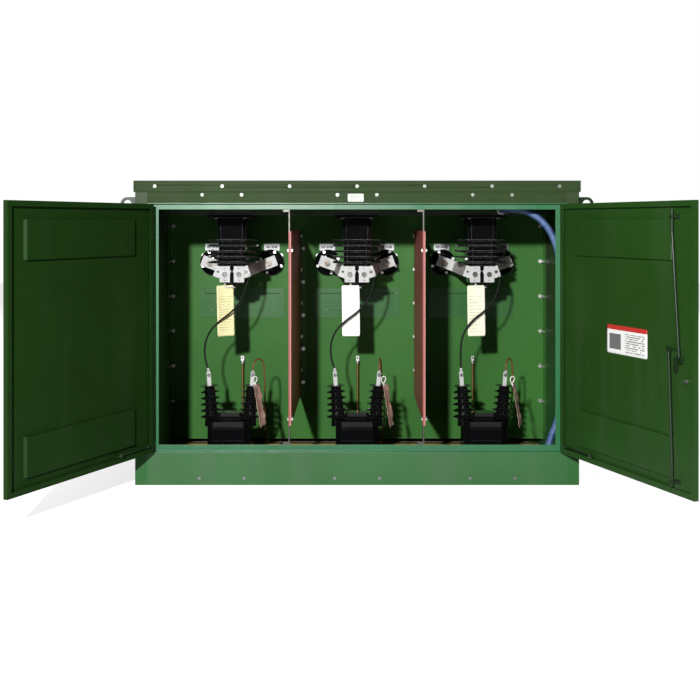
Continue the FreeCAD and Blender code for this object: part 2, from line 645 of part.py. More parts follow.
def vt_bushing():
    """Shed profile turned about Z."""
    profile = [(0, -20), (34, -20), (30, 10)]
    for k in range(VT_SHEDS):
        share = k / (VT_SHEDS - 1)
        tip = VT_SHED_R + (VT_SHED_TOP_R - VT_SHED_R) * share
        root = 27 - 6 * share
        z = VT_SHED_LOW + VT_SHED_PITCH * k - 3
        profile += [(root, z), (tip - 2, z + 1), (tip, z + 2.5), (tip - 2, z + 4), (root, z + 10)]
    profile[-1] = (19, VT_NECK - 2)
    return turning(profile + [(17, VT_NECK), (0, VT_NECK)])


VT_CORE = (58.0, 92.0, 188.0, 45.0)      # half width, low, high, half depth
VT_WINDOW = (26.0, 122.0, 158.0)


def vt_core(grow=0.0):
    half, low, high, deep = VT_CORE
    wide, window_low, window_high = VT_WINDOW
    y0, y1 = VT_MID_Y - deep - grow, VT_MID_Y + deep + grow
    outside = box(-half - grow, half + grow, y0, y1, low - grow, high + grow)
    return outside.cut(box(-wide + grow, wide - grow, y0, y1, window_low + grow, window_high - grow))


def voltage_transformer():
    """Cast block on a base plate, with two leaning ribbed bushings and a saddle between them."""
    plate_y = (VT_CHANNEL_Y[0] - 4, VT_CHANNEL_Y[1] + CHANNEL + 4)
    pieces = [box(-VT_HALF, VT_HALF, plate_y[0], plate_y[1], VT_SEAT, VT_SEAT + 8),
              chamfered(VT_HALF, VT_FRONT, VT_REAR, VT_CORNER, VT_SEAT + 26, 216),
              chamfered(VT_HALF - 14, VT_FRONT + 14, VT_REAR - 14, VT_CORNER - 6, VT_SEAT + 8, VT_SEAT + 26),
              chamfered(52, VT_MID_Y - 34, VT_MID_Y + 34, 12, 216, VT_SADDLE)]
    pieces += [box(-65, 65, VT_FRONT - 3, VT_FRONT, z - 2.5, z + 2.5) for z in (136, 185, 210)]
    pieces += [on_vt_bushing(vt_bushing(), 0, side) for side in (-1, 1)]
    holes = [vt_core(grow=CORE_FIT)]
    holes += [drill((dx, y + CHANNEL / 2, VT_SEAT + 8), (0, 0, -1), depth=12)
              for y in VT_CHANNEL_Y for dx in (-VT_BOLT_X, VT_BOLT_X)]
    return cut(fuse(pieces), holes)


def vt_terminals():
    """Flat terminal standing on each bushing."""
    bar = fuse([box(-TERMINAL_WIDE / 2, TERMINAL_WIDE / 2, -TERMINAL_THICK / 2, TERMINAL_THICK / 2,
                    VT_NECK, TERMINAL_TOP),
                rod(11, (0, 0, VT_NECK), (0, 0, VT_NECK + 4))])
    bar = bar.cut(rod(4.0 + BOLT_FIT, (0, -9, TERMINAL_HOLE), (0, 9, TERMINAL_HOLE)))
    return Part.makeCompound([on_vt_bushing(bar, centre, side) for _, centre in PHASES for side in (-1, 1)])


def transformer_cores():
    """Iron core inside each of the six castings."""
    cores = []
    for _, centre in PHASES:
        cores += [moved(ct_core(), x=centre), moved(vt_core(), x=centre)]
    return Part.makeCompound(cores)


# ---- leads ------------------------------------------------------------------------------------
JUMPER_D, EARTH_D = 8.0, 7.0
JUMPER_LUG_Y = BAR_NEAR_Y - BAR_THICK / 2 - 3

# Routes from the middle of each compartment. A jumper runs from the bar's lug, forward of the tag, to
# the left-hand bushing of the voltage transformer. An earth lead runs from the right-hand one to the bus.
JUMPERS = {
    "left": [(75, -352, 826), (70, -357, 800), (55, -363, 760), (38, -367, 715), (0, -372, 672),
             (-52, -375, 634), (-92, -377, 592), (-112, -380, 545), (-115, -384, 497),
             (-107, -390, 455), (-98, -397, 432)],
    "middle": [(75, -352, 826), (74, -357, 800), (64, -363, 762), (42, -368, 718), (4, -373, 674),
               (-52, -376, 636), (-95, -378, 590), (-113, -381, 543), (-115, -386, 497),
               (-107, -391, 455), (-98, -397, 432)],
    "right": [(75, -352, 826), (75, -357, 802), (66, -362, 766), (48, -367, 722), (14, -372, 682),
              (-38, -376, 646), (-76, -378, 600), (-94, -381, 552), (-98, -386, 502),
              (-98, -391, 458), (-97, -397, 433)],
}
EARTH_LEADS = {
    "left": [(97, -397, 423), (98, -396, 450), (110, -382, 469), (127, -361, 470), (139, -347, 450),
             (142, -343, 413), (144, -337, 364), (143, -321, 290), (139, -288, 215), (134, -222, 150),
             (129, -140, 114), (124, -62, 106), (122, 2, 98), (121, 45, 80), (121, 60, 53),
             (121, 60, 28)],
    "middle": [(97, -397, 423), (97, -396, 450), (99, -378, 470), (102, -351, 470), (105, -332, 450),
               (107, -328, 412), (112, -322, 362), (118, -306, 290), (122, -276, 215),
               (121, -214, 152), (119, -136, 114), (117, -60, 105), (116, 2, 98), (116, 45, 80),
               (116, 60, 53), (116, 60, 28)],
    "right": [(97, -397, 423), (97, -396, 450), (106, -380, 470), (121, -357, 471), (132, -342, 451),
              (135, -338, 412), (137, -331, 362), (136, -314, 290), (131, -282, 215),
              (126, -220, 152), (121, -140, 115), (117, -62, 106), (115, 2, 98), (115, 45, 80),
              (115, 60, 53), (115, 60, 28)],
}


def tube(name, points, diameter):
    """Round cord along straight runs joined by tangent arcs, each as large as its runs allow."""
    corners = [V(*p) for p in points]
    edges = []
    radii = []
    last = corners[0]
    for before, at, after in zip(corners, corners[1:], corners[2:]):
        back, ahead = before - at, after - at
        turn = math.pi - back.getAngle(ahead)
        setback = 0.45 * min(back.Length, ahead.Length)
        radii.append(setback / math.tan(turn / 2))
        start, end = at + back.normalize() * setback, at + ahead.normalize() * setback
        toward = ((start + end) * 0.5 - at).normalize()
        middle = at + toward * (radii[-1] / math.cos(turn / 2) - radii[-1])
        edges += [Part.LineSegment(last, start).toShape(), Part.Arc(start, middle, end).toShape()]
        last = end
    edges.append(Part.LineSegment(last, corners[-1]).toShape())
    wire = Part.Wire(edges)
    circle = Part.Wire(Part.makeCircle(diameter / 2, corners[0], corners[1] - corners[0]))
    solid = wire.makePipeShell([circle], True, False)
    expected = math.pi * diameter ** 2 / 4 * wire.Length
    print(f"{name}: length {wire.Length:.0f}, smallest radius {min(radii):.0f}, "
          f"volume ratio {solid.Volume / expected:.4f}")
    return solid


def lead(name, route, centre, diameter):
    return tube(name, [(x + centre, y, z) for x, y, z in route], diameter)


def lead_lug(end, inner, hole, thick=3.0):
    """Lug on the end of a lead: a barrel in line with it and a tongue to a bolt hole."""
    end, inner, hole = V(*end), V(*inner), V(*hole)
    along = (end - inner).normalize()
    barrel = Part.makeCylinder(5.5, 10.0, end, along)
    tip = end + along * 6
    reach = V(hole.x - tip.x, 0, hole.z - tip.z)
    tongue = Part.makeBox(12, thick, reach.Length, V(-6, 0, 0))
    tongue.Placement = FreeCAD.Placement(V(tip.x, hole.y, tip.z), FreeCAD.Rotation(Z_AXIS, reach))
    eye = Part.makeCylinder(8.0, thick, hole, Y_AXIS)
    lug = fuse([barrel, tongue, eye])
    return lug.cut(Part.makeCylinder(4.0 + BOLT_FIT, thick + 4, hole - V(0, 2, 0), Y_AXIS))


def terminal_hole(centre, side):
    """Front of the hole in a voltage transformer's terminal, less a lug's thickness."""
    lean = math.radians(VT_LEAN) * side
    reach = TERMINAL_HOLE
    return (centre + side * VT_ROOT_X + math.sin(lean) * reach, VT_MID_Y - TERMINAL_THICK / 2 - 3,
            VT_ROOT_Z + math.cos(lean) * reach)


def cable_lugs():
    lugs = []
    for name, centre in PHASES:
        jumper = [(x + centre, y, z) for x, y, z in JUMPERS[name]]
        earth = [(x + centre, y, z) for x, y, z in EARTH_LEADS[name]]
        bar_hole = (centre + JUMPER_LUG_X, JUMPER_LUG_Y, tilt_point(JUMPER_LUG_X))
        lugs.append(lead_lug(jumper[0], jumper[1], bar_hole))
        lugs.append(lead_lug(jumper[-1], jumper[-2], terminal_hole(centre, -1)))
        lugs.append(lead_lug(earth[0], earth[1], terminal_hole(centre, 1)))
    return Part.makeCompound(lugs)


# ---- earthing -----------------------------------------------------------------------------------
BUS_Y, BUS_LOW, BUS_THICK = (40.0, 80.0), 10.0, 6.0
EARTH_ROD_R, EARTH_ROD_TOP = 4.5, 393.0


def ground_bus():
    """Copper bar across the floor of the cabinet, an upright rod and lug for each phase, and the
    clamp block where each earth lead ends."""
    pieces = [box(-860, 860, *BUS_Y, BUS_LOW, BUS_LOW + BUS_THICK)]
    pieces += [box(side * 840, side * 858, *BUS_Y, BASE_THICK, BUS_LOW) for side in (-1, 1)]
    top = BUS_LOW + BUS_THICK
    for name, centre in PHASES:
        x = centre + 4
        pieces.append(rod(EARTH_ROD_R, (x, 70, top), (x, 70, EARTH_ROD_TOP)))
        lug = fuse([rod(7, (x, 70, EARTH_ROD_TOP), (x, 70, EARTH_ROD_TOP + 14)),
                    box(x - 7, x + 7, 67, 72, EARTH_ROD_TOP + 8, EARTH_ROD_TOP + 36)])
        pieces.append(lug.cut(rod(4, (x, 60, EARTH_ROD_TOP + 27), (x, 80, EARTH_ROD_TOP + 27))))
        end = EARTH_LEADS[name][-1]
        pieces.append(box(centre + end[0] - 9, centre + end[0] + 9, end[1] - 9, end[1] + 9, top, end[2]))
    return Part.makeCompound(pieces)


# ---- tags and plates ----------------------------------------------------------------------------
CT_TAG = (78.0, 222.0, 1.2)
CT_TAG_PLACES = {"left": (-21, 9), "middle": (-16, -5), "right": (-25, 7)}
VT_TAG = (64.0, 180.0, 1.2)


def instrument_tags():
    """Card hung under each pair of pads, and one beside each voltage transformer."""
    tags = []
    for name, centre in PHASES:
        wide, tall, thick = CT_TAG
        dx, twist = CT_TAG_PLACES[name]
        card = box(-wide / 2, wide / 2, -thick / 2, thick / 2, -tall, 0)
        tie = box(-2, 2, -thick / 2, thick / 2, -4, 9)
        tag = turned(fuse([card, tie]), (0, 0, 0), Z_AXIS, twist)
        tags.append(moved(tag, centre + dx, PAD_FACE + PAD_THICK / 2, PAD_LOW - 9))
        wide, tall, thick = VT_TAG
        card = box(-thick / 2, thick / 2, -wide / 2, wide / 2, -tall, 0)
        card = turned(card, (0, 0, 0), Y_AXIS, -9)
        tags.append(moved(card, centre + 118, -478, 374))
    return Part.makeCompound(tags)


LABEL_X, LABEL_LOW, LABEL_HIGH = (104.0, 179.0), 930.0, 963.0


def label_plates():
    """Phase markers on the wall and the maker's blank plate on the header."""
    plates = [box(centre + side * LABEL_X[0], centre + side * LABEL_X[1], WALL_FRONT - 1, WALL_FRONT,
                  LABEL_LOW, LABEL_HIGH) for _, centre in PHASES for side in (-1, 1)]
    plates.append(box(-38, 27, FRONT - 1, FRONT, 1148, 1181))
    return Part.makeCompound(plates)


# ---- conduit --------------------------------------------------------------------------------
CONDUIT_D = 27.0
CONDUIT_X, CONDUIT_Z = 620.0, 1117.0
CONDUIT = [(CONDUIT_X, -446, CONDUIT_Z), (CONDUIT_X, -500, CONDUIT_Z), (650, -552, 1119),
           (708, -578, 1112), (764, -583, 1078), (806, -581, 1026), (832, -578, 962),
           (848, -576, 880), (856, -575, 780), (856, -573, 400), (850, -574, 310),
           (833, -575, 232), (806, -576, 168), (790, -577, 108), (790, -577, 58)]
CLIP_Z = (480.0, 700.0)


def conduit():
    return tube("conduit", CONDUIT, CONDUIT_D)


def conduit_fittings():
    """Connector into the front channel, two clips on the side wall and the fitting in the base."""
    start, foot = CONDUIT[0], CONDUIT[-1]
    y = CT_CHANNEL_Y[0]
    fittings = [fuse([rod(19, (start[0], y - 30, start[2]), (start[0], y, start[2])),
                      rod(10.6, (start[0], y - 1, start[2]), (start[0], y + 12, start[2]))])]
    for z in CLIP_Z:
        x = 856.0
        share = (780 - z) / 380
        at_y = -575 + 2 * share
        clip = fuse([rod(CONDUIT_D / 2 + 4, (x, at_y, z - 8), (x, at_y, z + 8)),
                     box(x, SIDE_IN, at_y - 9, at_y + 9, z - 8, z + 8)])
        fittings.append(clip.cut(rod(CONDUIT_D / 2 + 0.3, (x, at_y, z - 9), (x, at_y, z + 9))))
    fittings.append(fuse([rod(20, (foot[0], foot[1], 8), (foot[0], foot[1], foot[2])),
                          box(foot[0] - 30, foot[0] + 56, foot[1] - 30, foot[1] + 30, 4, 8)]))
    return Part.makeCompound(fittings)


# ---- hinges --------------------------------------------------------------------------------
HINGE_Z = (230.0, 633.0, 1036.0)
KNUCKLE, MIDDLE_KNUCKLE, KNUCKLE_GAP = 30.0, 59.0, 0.5
LEAF = 3.0


def hinge_spans(z):
    """Heights of the fixed knuckle below, the door's knuckle, and the fixed knuckle above."""
    half = MIDDLE_KNUCKLE / 2
    return ((z - half - KNUCKLE_GAP - KNUCKLE, z - half - KNUCKLE_GAP), (z - half, z + half),
            (z + half + KNUCKLE_GAP, z + half + KNUCKLE_GAP + KNUCKLE))


def hinge_line(side, face):
    return side * HINGE_X, face * (DEPTH / 2 + HINGE_OUT)


def frame_hinges():
    """Fixed knuckles with their leaves, and the pins, for all four doors."""
    pieces = []
    for face in (-1, 1):
        for side in (-1, 1):
            x, y = hinge_line(side, face)
            plate = face * DEPTH / 2
            for z in HINGE_Z:
                low, _, high = hinge_spans(z)
                for z0, z1 in (low, high):
                    barrel = rod(HINGE_R, (x, y, z0), (x, y, z1))
                    leaf = box(x, side * 882, plate, plate + face * LEAF, z0, z1)
                    web = box(x, x + side * 6, plate, y, z0, z1)
                    pieces.append(fuse([barrel, leaf, web]).cut(
                        rod(PIN_R, (x, y, z0 - 1), (x, y, z1 + 1))))
                head = rod(6.5, (x, y, high[1]), (x, y, high[1] + 4))
                pieces.append(fuse([rod(PIN_R, (x, y, low[0]), (x, y, high[1])), head]))
    return Part.makeCompound(pieces)


def door_knuckles(side, face):
    """The shut door's own knuckles and leaves."""
    x, y = hinge_line(side, face)
    plate = face * DEPTH / 2
    pieces = []
    for z in HINGE_Z:
        z0, z1 = hinge_spans(z)[1]
        pieces.append(rod(HINGE_R, (x, y, z0), (x, y, z1)))
        pieces.append(box(x, side * 798, plate, plate + face * LEAF, z0, z1))
        pieces.append(box(x, x - side * 6, plate, y, z0, z1))
    bores = [rod(PIN_R + PIN_FIT, (x, y, hinge_spans(z)[1][0] - 1), (x, y, hinge_spans(z)[1][1] + 1))
             for z in HINGE_Z]
    return pieces, bores


# ---- doors ----------------------------------------------------------------------------------
def door_pan(side, face):
    """Shut door: skin, four returns and the lip round their edges."""
    outer = face * DEPTH / 2
    back = outer - face * DOOR_DEPTH
    near, far = side * DOOR_GAP, side * DOOR_EDGE
    whole = box(near, far, outer, back, DOOR_LOW, DOOR_HIGH)
    room = box(near + side * SHEET, far - side * SHEET, outer - face * SHEET, back + face * SHEET,
               DOOR_LOW + SHEET, DOOR_HIGH - SHEET)
    mouth = box(near + side * DOOR_LIP, far - side * DOOR_LIP, outer - face * 5, back - face,
                DOOR_LOW + DOOR_LIP, DOOR_HIGH - DOOR_LIP)
    return whole.cut(fuse([room, mouth]))


def swung(shape, side, degrees):
    """Turns a shut front door's piece to where the door stands."""
    x, y = hinge_line(side, -1)
    return turned(shape, (x, y, 0), Z_AXIS, side * degrees)


STIFF_LOW, STIFF_HIGH = (190.0, 330.0), (935.0, 1075.0)
STIFF_DEEP, STIFF_SLOPE, STIFF_SHEET = 12.0, 6.0, 2.0


def stiffener(side, near, far, span):
    """Shallow hat with sloping ends, on the inside of a front door."""
    base = FRONT + SHEET
    deep, slope, wall = STIFF_DEEP, STIFF_SLOPE, STIFF_SHEET
    outer = outline([(side * near, base), (side * (near + slope), base + deep),
                     (side * (far - slope), base + deep), (side * far, base)], *span)
    foot, shoulder = wall * 1.4, slope + wall * 0.4
    inner = outline([(side * (near + foot), base), (side * (near + shoulder), base + deep - wall),
                     (side * (far - shoulder), base + deep - wall), (side * (far - foot), base)],
                    span[0] + wall, span[1] - wall)
    return outer.cut(inner)


STAY_X, STAY_Y, STAY_Z, STAY_REACH = 612.0, -678.0, 170.0, 176.0
STAY_R, STAY_PIN_R, STAY_EYE_HALF = 4.0, 5.0, 4.5
TAB_Z = (FRAME_LIP_Z[0] + 2, FRAME_LIP_Z[0] + 6)


def stay_post(side):
    """Tab on the door's skin, just above the lips, with the pin that the stay turns on."""
    x = side * STAY_X
    return [box(x - 9, x + 9, FRONT + 1, STAY_Y, *TAB_Z),
            rod(9, (x, STAY_Y, TAB_Z[0]), (x, STAY_Y, TAB_Z[1])),
            rod(STAY_PIN_R, (x, STAY_Y, TAB_Z[0]), (x, STAY_Y, STAY_Z + 7))]


def door_stay(side):
    """Rod with an eye at each end that holds the door open when its free end is hooked."""
    x, end = side * STAY_X, side * (STAY_X + STAY_REACH)
    eye_low, eye_high = STAY_Z - STAY_EYE_HALF, STAY_Z + STAY_EYE_HALF
    shape = fuse([rod(10, (x, STAY_Y, eye_low), (x, STAY_Y, eye_high)),
                  rod(STAY_R, (x, STAY_Y, STAY_Z), (end, STAY_Y, STAY_Z)),
                  rod(7, (end, STAY_Y, eye_low), (end, STAY_Y, eye_high))])
    return cut(shape, [rod(STAY_PIN_R + PIN_FIT, (x, STAY_Y, STAY_Z - 9), (x, STAY_Y, STAY_Z + 9)),
                       rod(3, (end, STAY_Y, STAY_Z - 9), (end, STAY_Y, STAY_Z + 9))])


LOCK_X, LOCK_Z, LOCK_R = 48.0, 530.0, 6.0
STAPLE_X, STAPLE_Z, STAPLE_Y, STAPLE_R = (76.0, 82.0), 495.0, -715.0, 5.5
STILE_DEEP = 8.0


def left_door():
    knuckles, bores = door_knuckles(-1, -1)
    return cut(fuse([door_pan(-1, -1)] + knuckles + stay_post(-1)), bores)


def left_door_stiffeners():
    return Part.makeCompound([stiffener(-1, 840 - 746, 840 - 123, span) for span in (STIFF_LOW, STIFF_HIGH)])


def lock_hole():
    return rod(LOCK_R + PIN_FIT, (LOCK_X, FRONT - 20, LOCK_Z), (LOCK_X, FRONT + 30, LOCK_Z))


def spindle_hole():
    return rod(SPINDLE_R + PIN_FIT, (LATCH_X, FRONT - 20, LATCH_Z), (LATCH_X, FRONT + 30, LATCH_Z))


SLIT_X = (119.0, 123.0)


def right_door():
    """The active door, with a slit across its top and bottom lips beside the latch stile."""
    knuckles, bores = door_knuckles(1, -1)
    back = FRONT + DOOR_DEPTH
    slits = [box(*SLIT_X, back - SHEET - 1, back + 1, *span)
             for span in ((DOOR_LOW + SHEET, DOOR_LOW + DOOR_LIP + 1),
                          (DOOR_HIGH - DOOR_LIP - 1, DOOR_HIGH - SHEET))]
    return cut(fuse([door_pan(1, -1)] + knuckles + stay_post(1)),
               bores + slits + [lock_hole(), spindle_hole()])


def lock_staple():
    """Padlock staple and the lock bolt's guard, welded to the outside of the active door."""
    staple = box(*STAPLE_X, FRONT - 26, FRONT, STAPLE_Z - 16, STAPLE_Z + 16)
    eye = rod(STAPLE_R, (STAPLE_X[0] - 1, STAPLE_Y, STAPLE_Z), (STAPLE_X[1] + 1, STAPLE_Y, STAPLE_Z))
    guard = ring(19, 15, (LOCK_X, FRONT - 14, LOCK_Z), (LOCK_X, FRONT, LOCK_Z))
    return [staple.cut(eye), guard]


GUIDE_X = 105.0           # where the latch rods run, with the door shut
GUIDE_Z = (182.0, 1084.0)
ROD_Y = -671.5            # just behind the door frame's lip
ROD_CLEAR = 7.0           # height between an open latch rod's tip and that lip


def right_door_stiffeners():
    """Two hats, the upright latch stile, and the staple and guard, all welded to the door."""
    base = FRONT + SHEET
    stile = box(8, 118, base, base + STILE_DEEP, 156, 1110)
    stile = stile.cut(box(10, 116, base - 1, base + STILE_DEEP - 2, 158, 1108))
    stile = cut(stile, [lock_hole(), spindle_hole()])
    hats = [stiffener(1, 122, 840 - 123, span) for span in (STIFF_LOW, STIFF_HIGH)]
    return Part.makeCompound(hats + [stile] + lock_staple())


def latch_guides():
    """Bracket that each latch rod slides in, on the stile."""
    guides = []
    base = FRONT + SHEET + STILE_DEEP
    for z in GUIDE_Z:
        block = fuse([box(GUIDE_X - 8, GUIDE_X + 8, base + 2, ROD_Y + 8, z - 4, z + 4),
                      box(GUIDE_X - 24, GUIDE_X + 8, base, base + 2, z - 8, z + 8)])
        guides.append(block.cut(rod(ROD_R + 0.1, (GUIDE_X, ROD_Y, z - 6), (GUIDE_X, ROD_Y, z + 6))))
    return Part.makeCompound(guides)


CAM_Y = (-681.5, -676.5)
CAM_PIN_R = 4.0


def cam_point(side):
    """A latch pin with the latch open: side is -1 for the arm at the free edge."""
    a = math.radians(LATCH_REST)
    return LATCH_X + side * LATCH_ARM * math.cos(a), LATCH_Z + side * LATCH_ARM * math.sin(a)


def latch_cam():
    """Plate with two arms and a tail on the spindle, and a pin on each arm."""
    pieces = [rod(15, (LATCH_X, CAM_Y[0], LATCH_Z), (LATCH_X, CAM_Y[1], LATCH_Z))]
    for side in (-1, 1):
        x, z = cam_point(side)
        arm = box(0, LATCH_ARM, *CAM_Y, -9, 9)
        arm = moved(arm, LATCH_X, 0, LATCH_Z)
        turn = 180 - LATCH_REST if side < 0 else -LATCH_REST
        pieces.append(turned(arm, (LATCH_X, 0, LATCH_Z), Y_AXIS, turn))
        pieces.append(rod(9, (x, CAM_Y[0], z), (x, CAM_Y[1], z)))
        pieces.append(rod(CAM_PIN_R, (x, CAM_Y[0], z), (x, ROD_Y + 5, z)))
    tail = box(LATCH_X - 9, LATCH_X + 9, *CAM_Y, LATCH_Z - 54, LATCH_Z)
    pieces += [tail, rod(9, (LATCH_X, CAM_Y[0], LATCH_Z - 54), (LATCH_X, CAM_Y[1], LATCH_Z - 54))]
    holes = [rod(3, (LATCH_X, -700, z), (LATCH_X, -670, z)) for z in (LATCH_Z - 36, LATCH_Z - 54)]
    holes.append(rod(SPINDLE_R, (LATCH_X, -700, LATCH_Z), (LATCH_X, -670, LATCH_Z)))
    return cut(fuse(pieces), holes)


HANDLE_Y = (-723.0, -707.0)
HANDLE_LONG, HANDLE_WIDE = 150.0, 24.0


def door_handle():
    """Outside lever with its spindle and the nut on the inner end. Level with the latch open."""
    spindle = rod(SPINDLE_R, (LATCH_X, -712, LATCH_Z), (LATCH_X, CAM_Y[1] + 3, LATCH_Z))
    boss = rod(20, (LATCH_X, HANDLE_Y[0], LATCH_Z), (LATCH_X, FRONT - 0.5, LATCH_Z))
    lever = box(LATCH_X - HANDLE_WIDE / 2, LATCH_X + HANDLE_WIDE / 2, *HANDLE_Y,
                LATCH_Z - HANDLE_LONG, LATCH_Z)
    eye = rod(STAPLE_R, (0, STAPLE_Y, STAPLE_Z), (200, STAPLE_Y, STAPLE_Z))
    lever = turned(lever.cut(eye), (LATCH_X, 0, LATCH_Z), Y_AXIS, -2 * LATCH_REST)
    nut = rod(12, (LATCH_X, CAM_Y[1], LATCH_Z), (LATCH_X, CAM_Y[1] + 5, LATCH_Z))
    return fuse([spindle, boss, lever, nut])


def latch_rod(side):
    """Rod from a slotted eye on the cam pin to its guide: side is 1 for the upper rod."""
    pin_z = cam_point(-side)[1]
    mid = LATCH_X - side * (LATCH_ARM - 2)
    tip = FRAME_LIP_Z[1] - ROD_CLEAR if side > 0 else FRAME_LIP_Z[0] + ROD_CLEAR
    knee = GUIDE_Z[1] - 54 if side > 0 else GUIDE_Z[0] + 54
    slot_reach, slot_play = 6.8, 0.6
    plate = box(mid - 13, mid + 13, ROD_Y - 4, ROD_Y + 2, pin_z - 10, pin_z + 10)
    slot = box(mid - slot_reach, mid + slot_reach, ROD_Y - 9, ROD_Y + 9,
               pin_z - CAM_PIN_R - slot_play, pin_z + CAM_PIN_R + slot_play)
    eye_z = pin_z + side * 9
    pieces = [plate, rod(ROD_R, (GUIDE_X, ROD_Y, knee), (GUIDE_X, ROD_Y, tip)),
              rod(ROD_R, (mid, ROD_Y, eye_z), (GUIDE_X, ROD_Y, knee)),
              Part.makeSphere(ROD_R, V(GUIDE_X, ROD_Y, knee))]
    return fuse(pieces).cut(slot)


def lock_bolt():
    """Captive five-sided security bolt."""
    corners = [V(10 * math.sin(math.radians(72 * k)), 0, 10 * math.cos(math.radians(72 * k)))
               for k in range(5)]
    head = Part.Face(Part.makePolygon(corners + corners[:1])).extrude(V(0, 8, 0))
    head = moved(head, LOCK_X, FRONT - 11, LOCK_Z)
    collar = rod(13, (LOCK_X, FRONT - 3, LOCK_Z), (LOCK_X, FRONT - 0.5, LOCK_Z))
    shank = rod(LOCK_R, (LOCK_X, FRONT - 3, LOCK_Z), (LOCK_X, FRONT + 24, LOCK_Z))
    keeper = rod(9, (LOCK_X, FRONT + 12, LOCK_Z), (LOCK_X, FRONT + 15, LOCK_Z))
    return fuse([head, collar, shank, keeper])


REAR_HANDLE_X = -80.0


def rear_door(side):
    """Plain rear door. The left one, seen from the front, has the handle's hole."""
    knuckles, bores = door_knuckles(side, 1)
    pan = door_pan(side, 1)
    holes = [rod(SPINDLE_R + PIN_FIT, (REAR_HANDLE_X, REAR - 20, LATCH_Z),
                 (REAR_HANDLE_X, REAR + 20, LATCH_Z))] if side < 0 else []
    return cut(fuse([pan] + knuckles), bores + holes)


def rear_handle():
    """Lever, spindle and short tongue of the rear door's latch, shut."""
    x = REAR_HANDLE_X
    return fuse([rod(SPINDLE_R, (x, REAR - 22, LATCH_Z), (x, REAR + 12, LATCH_Z)),
                 rod(20, (x, REAR + 0.5, LATCH_Z), (x, REAR + 23, LATCH_Z)),
                 box(x - 12, x + 12, REAR + 7, REAR + 23, LATCH_Z - HANDLE_LONG, LATCH_Z),
                 rod(16, (x, REAR - 22, LATCH_Z), (x, REAR - 16, LATCH_Z)),
                 box(x, x + 44, REAR - 22, REAR - 16, LATCH_Z - 10, LATCH_Z + 10)])


# ---- fasteners ----------------------------------------------------------------------------------
def shell_bolts():
    bolts = [bolt(at, way, radius=SHELL_BOLT_R, grip=grip) for at, way, grip in shell_bolt_places()]
    for side in (-1, 1):
        bolts += [bolt(at, way, grip=2 * SHEET) for at, way in side_wall_bolt_places(side)]
        bolts += [bolt(at, way, grip=2 * SHEET) for at, way in channel_bolt_places(side)]
    bolts += [bolt(at, way, grip=12 + CHANNEL_THICK) for at, way in ct_bolt_places()]
    bolts += [bolt(at, way, grip=8 + CHANNEL_THICK) for at, way in vt_bolt_places()]
    return Part.makeCompound(bolts)


def wall_bolts():
    """Fasteners of the compartment wall, its covers, the bushing clamps and the barriers."""
    bolts = [bolt(at, way, grip=2 * SHEET) for at, way in wall_edge_places() + barrier_wall_places()]
    bolts += [bolt(at, way, grip=SHEET) for at, way in plug_places()]
    bolts += [bolt(at, way, radius=4.0, grip=20 + SHEET) for at, way in clamp_places()]
    bolts += [bolt(at, way, radius=2.5, grip=2 + SHEET, tail=3) for at, way in cover_screw_places()]
    for b in BARRIERS:
        front, rear = barrier_cross_places(b)
        bolts += [bolt(at, way, grip=STRIP_THICK + BARRIER_THICK) for at, way in front]
        bolts += [bolt(at, way, grip=BARRIER_THICK + SHEET) for at, way in rear]
    return Part.makeCompound(bolts)


# ---- every node -----------------------------------------------------------------------------
def nodes():
    yield "base_frame", base_frame()
    yield "left_side_wall", side_wall(-1)
    yield "right_side_wall", side_wall(1)
    yield "roof_cap", roof_cap()
    for name, face in (("front", -1), ("rear", 1)):
        yield f"{name}_header", header(face)
        yield f"{name}_sill", sill(face)
        yield f"{name}_door_frame", door_frame(face)
    yield "lifting_lugs", lifting_lugs()
    yield "shell_bolts", shell_bolts()
    yield "compartment_wall", compartment_wall()
    yield "wall_angles", wall_angles()
    yield "cover_plates", cover_plates()
    yield "wall_bolts", wall_bolts()
    yield "phase_barriers", phase_barriers()
    yield "barrier_supports", barrier_supports()
    yield "mounting_channels", mounting_channels()
    for name, centre in PHASES:
        yield f"{name}_current_transformer", moved(current_transformer(), x=centre)
        yield f"{name}_voltage_transformer", moved(voltage_transformer(), x=centre)
        yield f"{name}_jumper", lead(f"{name}_jumper", JUMPERS[name], centre, JUMPER_D)
        yield f"{name}_earth_lead", lead(f"{name}_earth_lead", EARTH_LEADS[name], centre, EARTH_D)
    yield "transformer_cores", transformer_cores()
    yield "ct_terminals", ct_terminals()
    yield "vt_terminals", vt_terminals()
    yield "bus_bars", bus_bars()
    yield "wall_bushings", wall_bushings()
    yield "bushing_clamps", bushing_clamps()
    yield "terminal_bolts", terminal_bolts()
    yield "cable_lugs", cable_lugs()
    yield "ground_bus", ground_bus()
    yield "instrument_tags", instrument_tags()
    yield "label_plates", label_plates()
    yield "conduit", conduit()
    yield "conduit_fittings", conduit_fittings()
    yield "frame_hinges", frame_hinges()
    yield "left_door", swung(left_door(), -1, LEFT_OPEN)
    yield "left_door_stiffeners", swung(left_door_stiffeners(), -1, LEFT_OPEN)
    yield "left_door_stay", swung(door_stay(-1), -1, LEFT_OPEN)
    for name, shape in (("right_door", right_door()), ("right_door_stiffeners", right_door_stiffeners()),
                        ("latch_guides", latch_guides()), ("latch_cam", latch_cam()),
                        ("door_handle", door_handle()), ("upper_latch_rod", latch_rod(1)),
                        ("lower_latch_rod", latch_rod(-1)), ("lock_bolt", lock_bolt()),
                        ("right_door_stay", door_stay(1))):
        yield name, swung(shape, 1, RIGHT_OPEN)
    yield "rear_left_door", rear_door(-1)
    yield "rear_right_door", rear_door(1)
    yield "rear_handle", rear_handle()


def main():
    os.makedirs("parts", exist_ok=True)
    for name, shape in nodes():
        shape.exportStep(f"parts/{name}.step")


main()
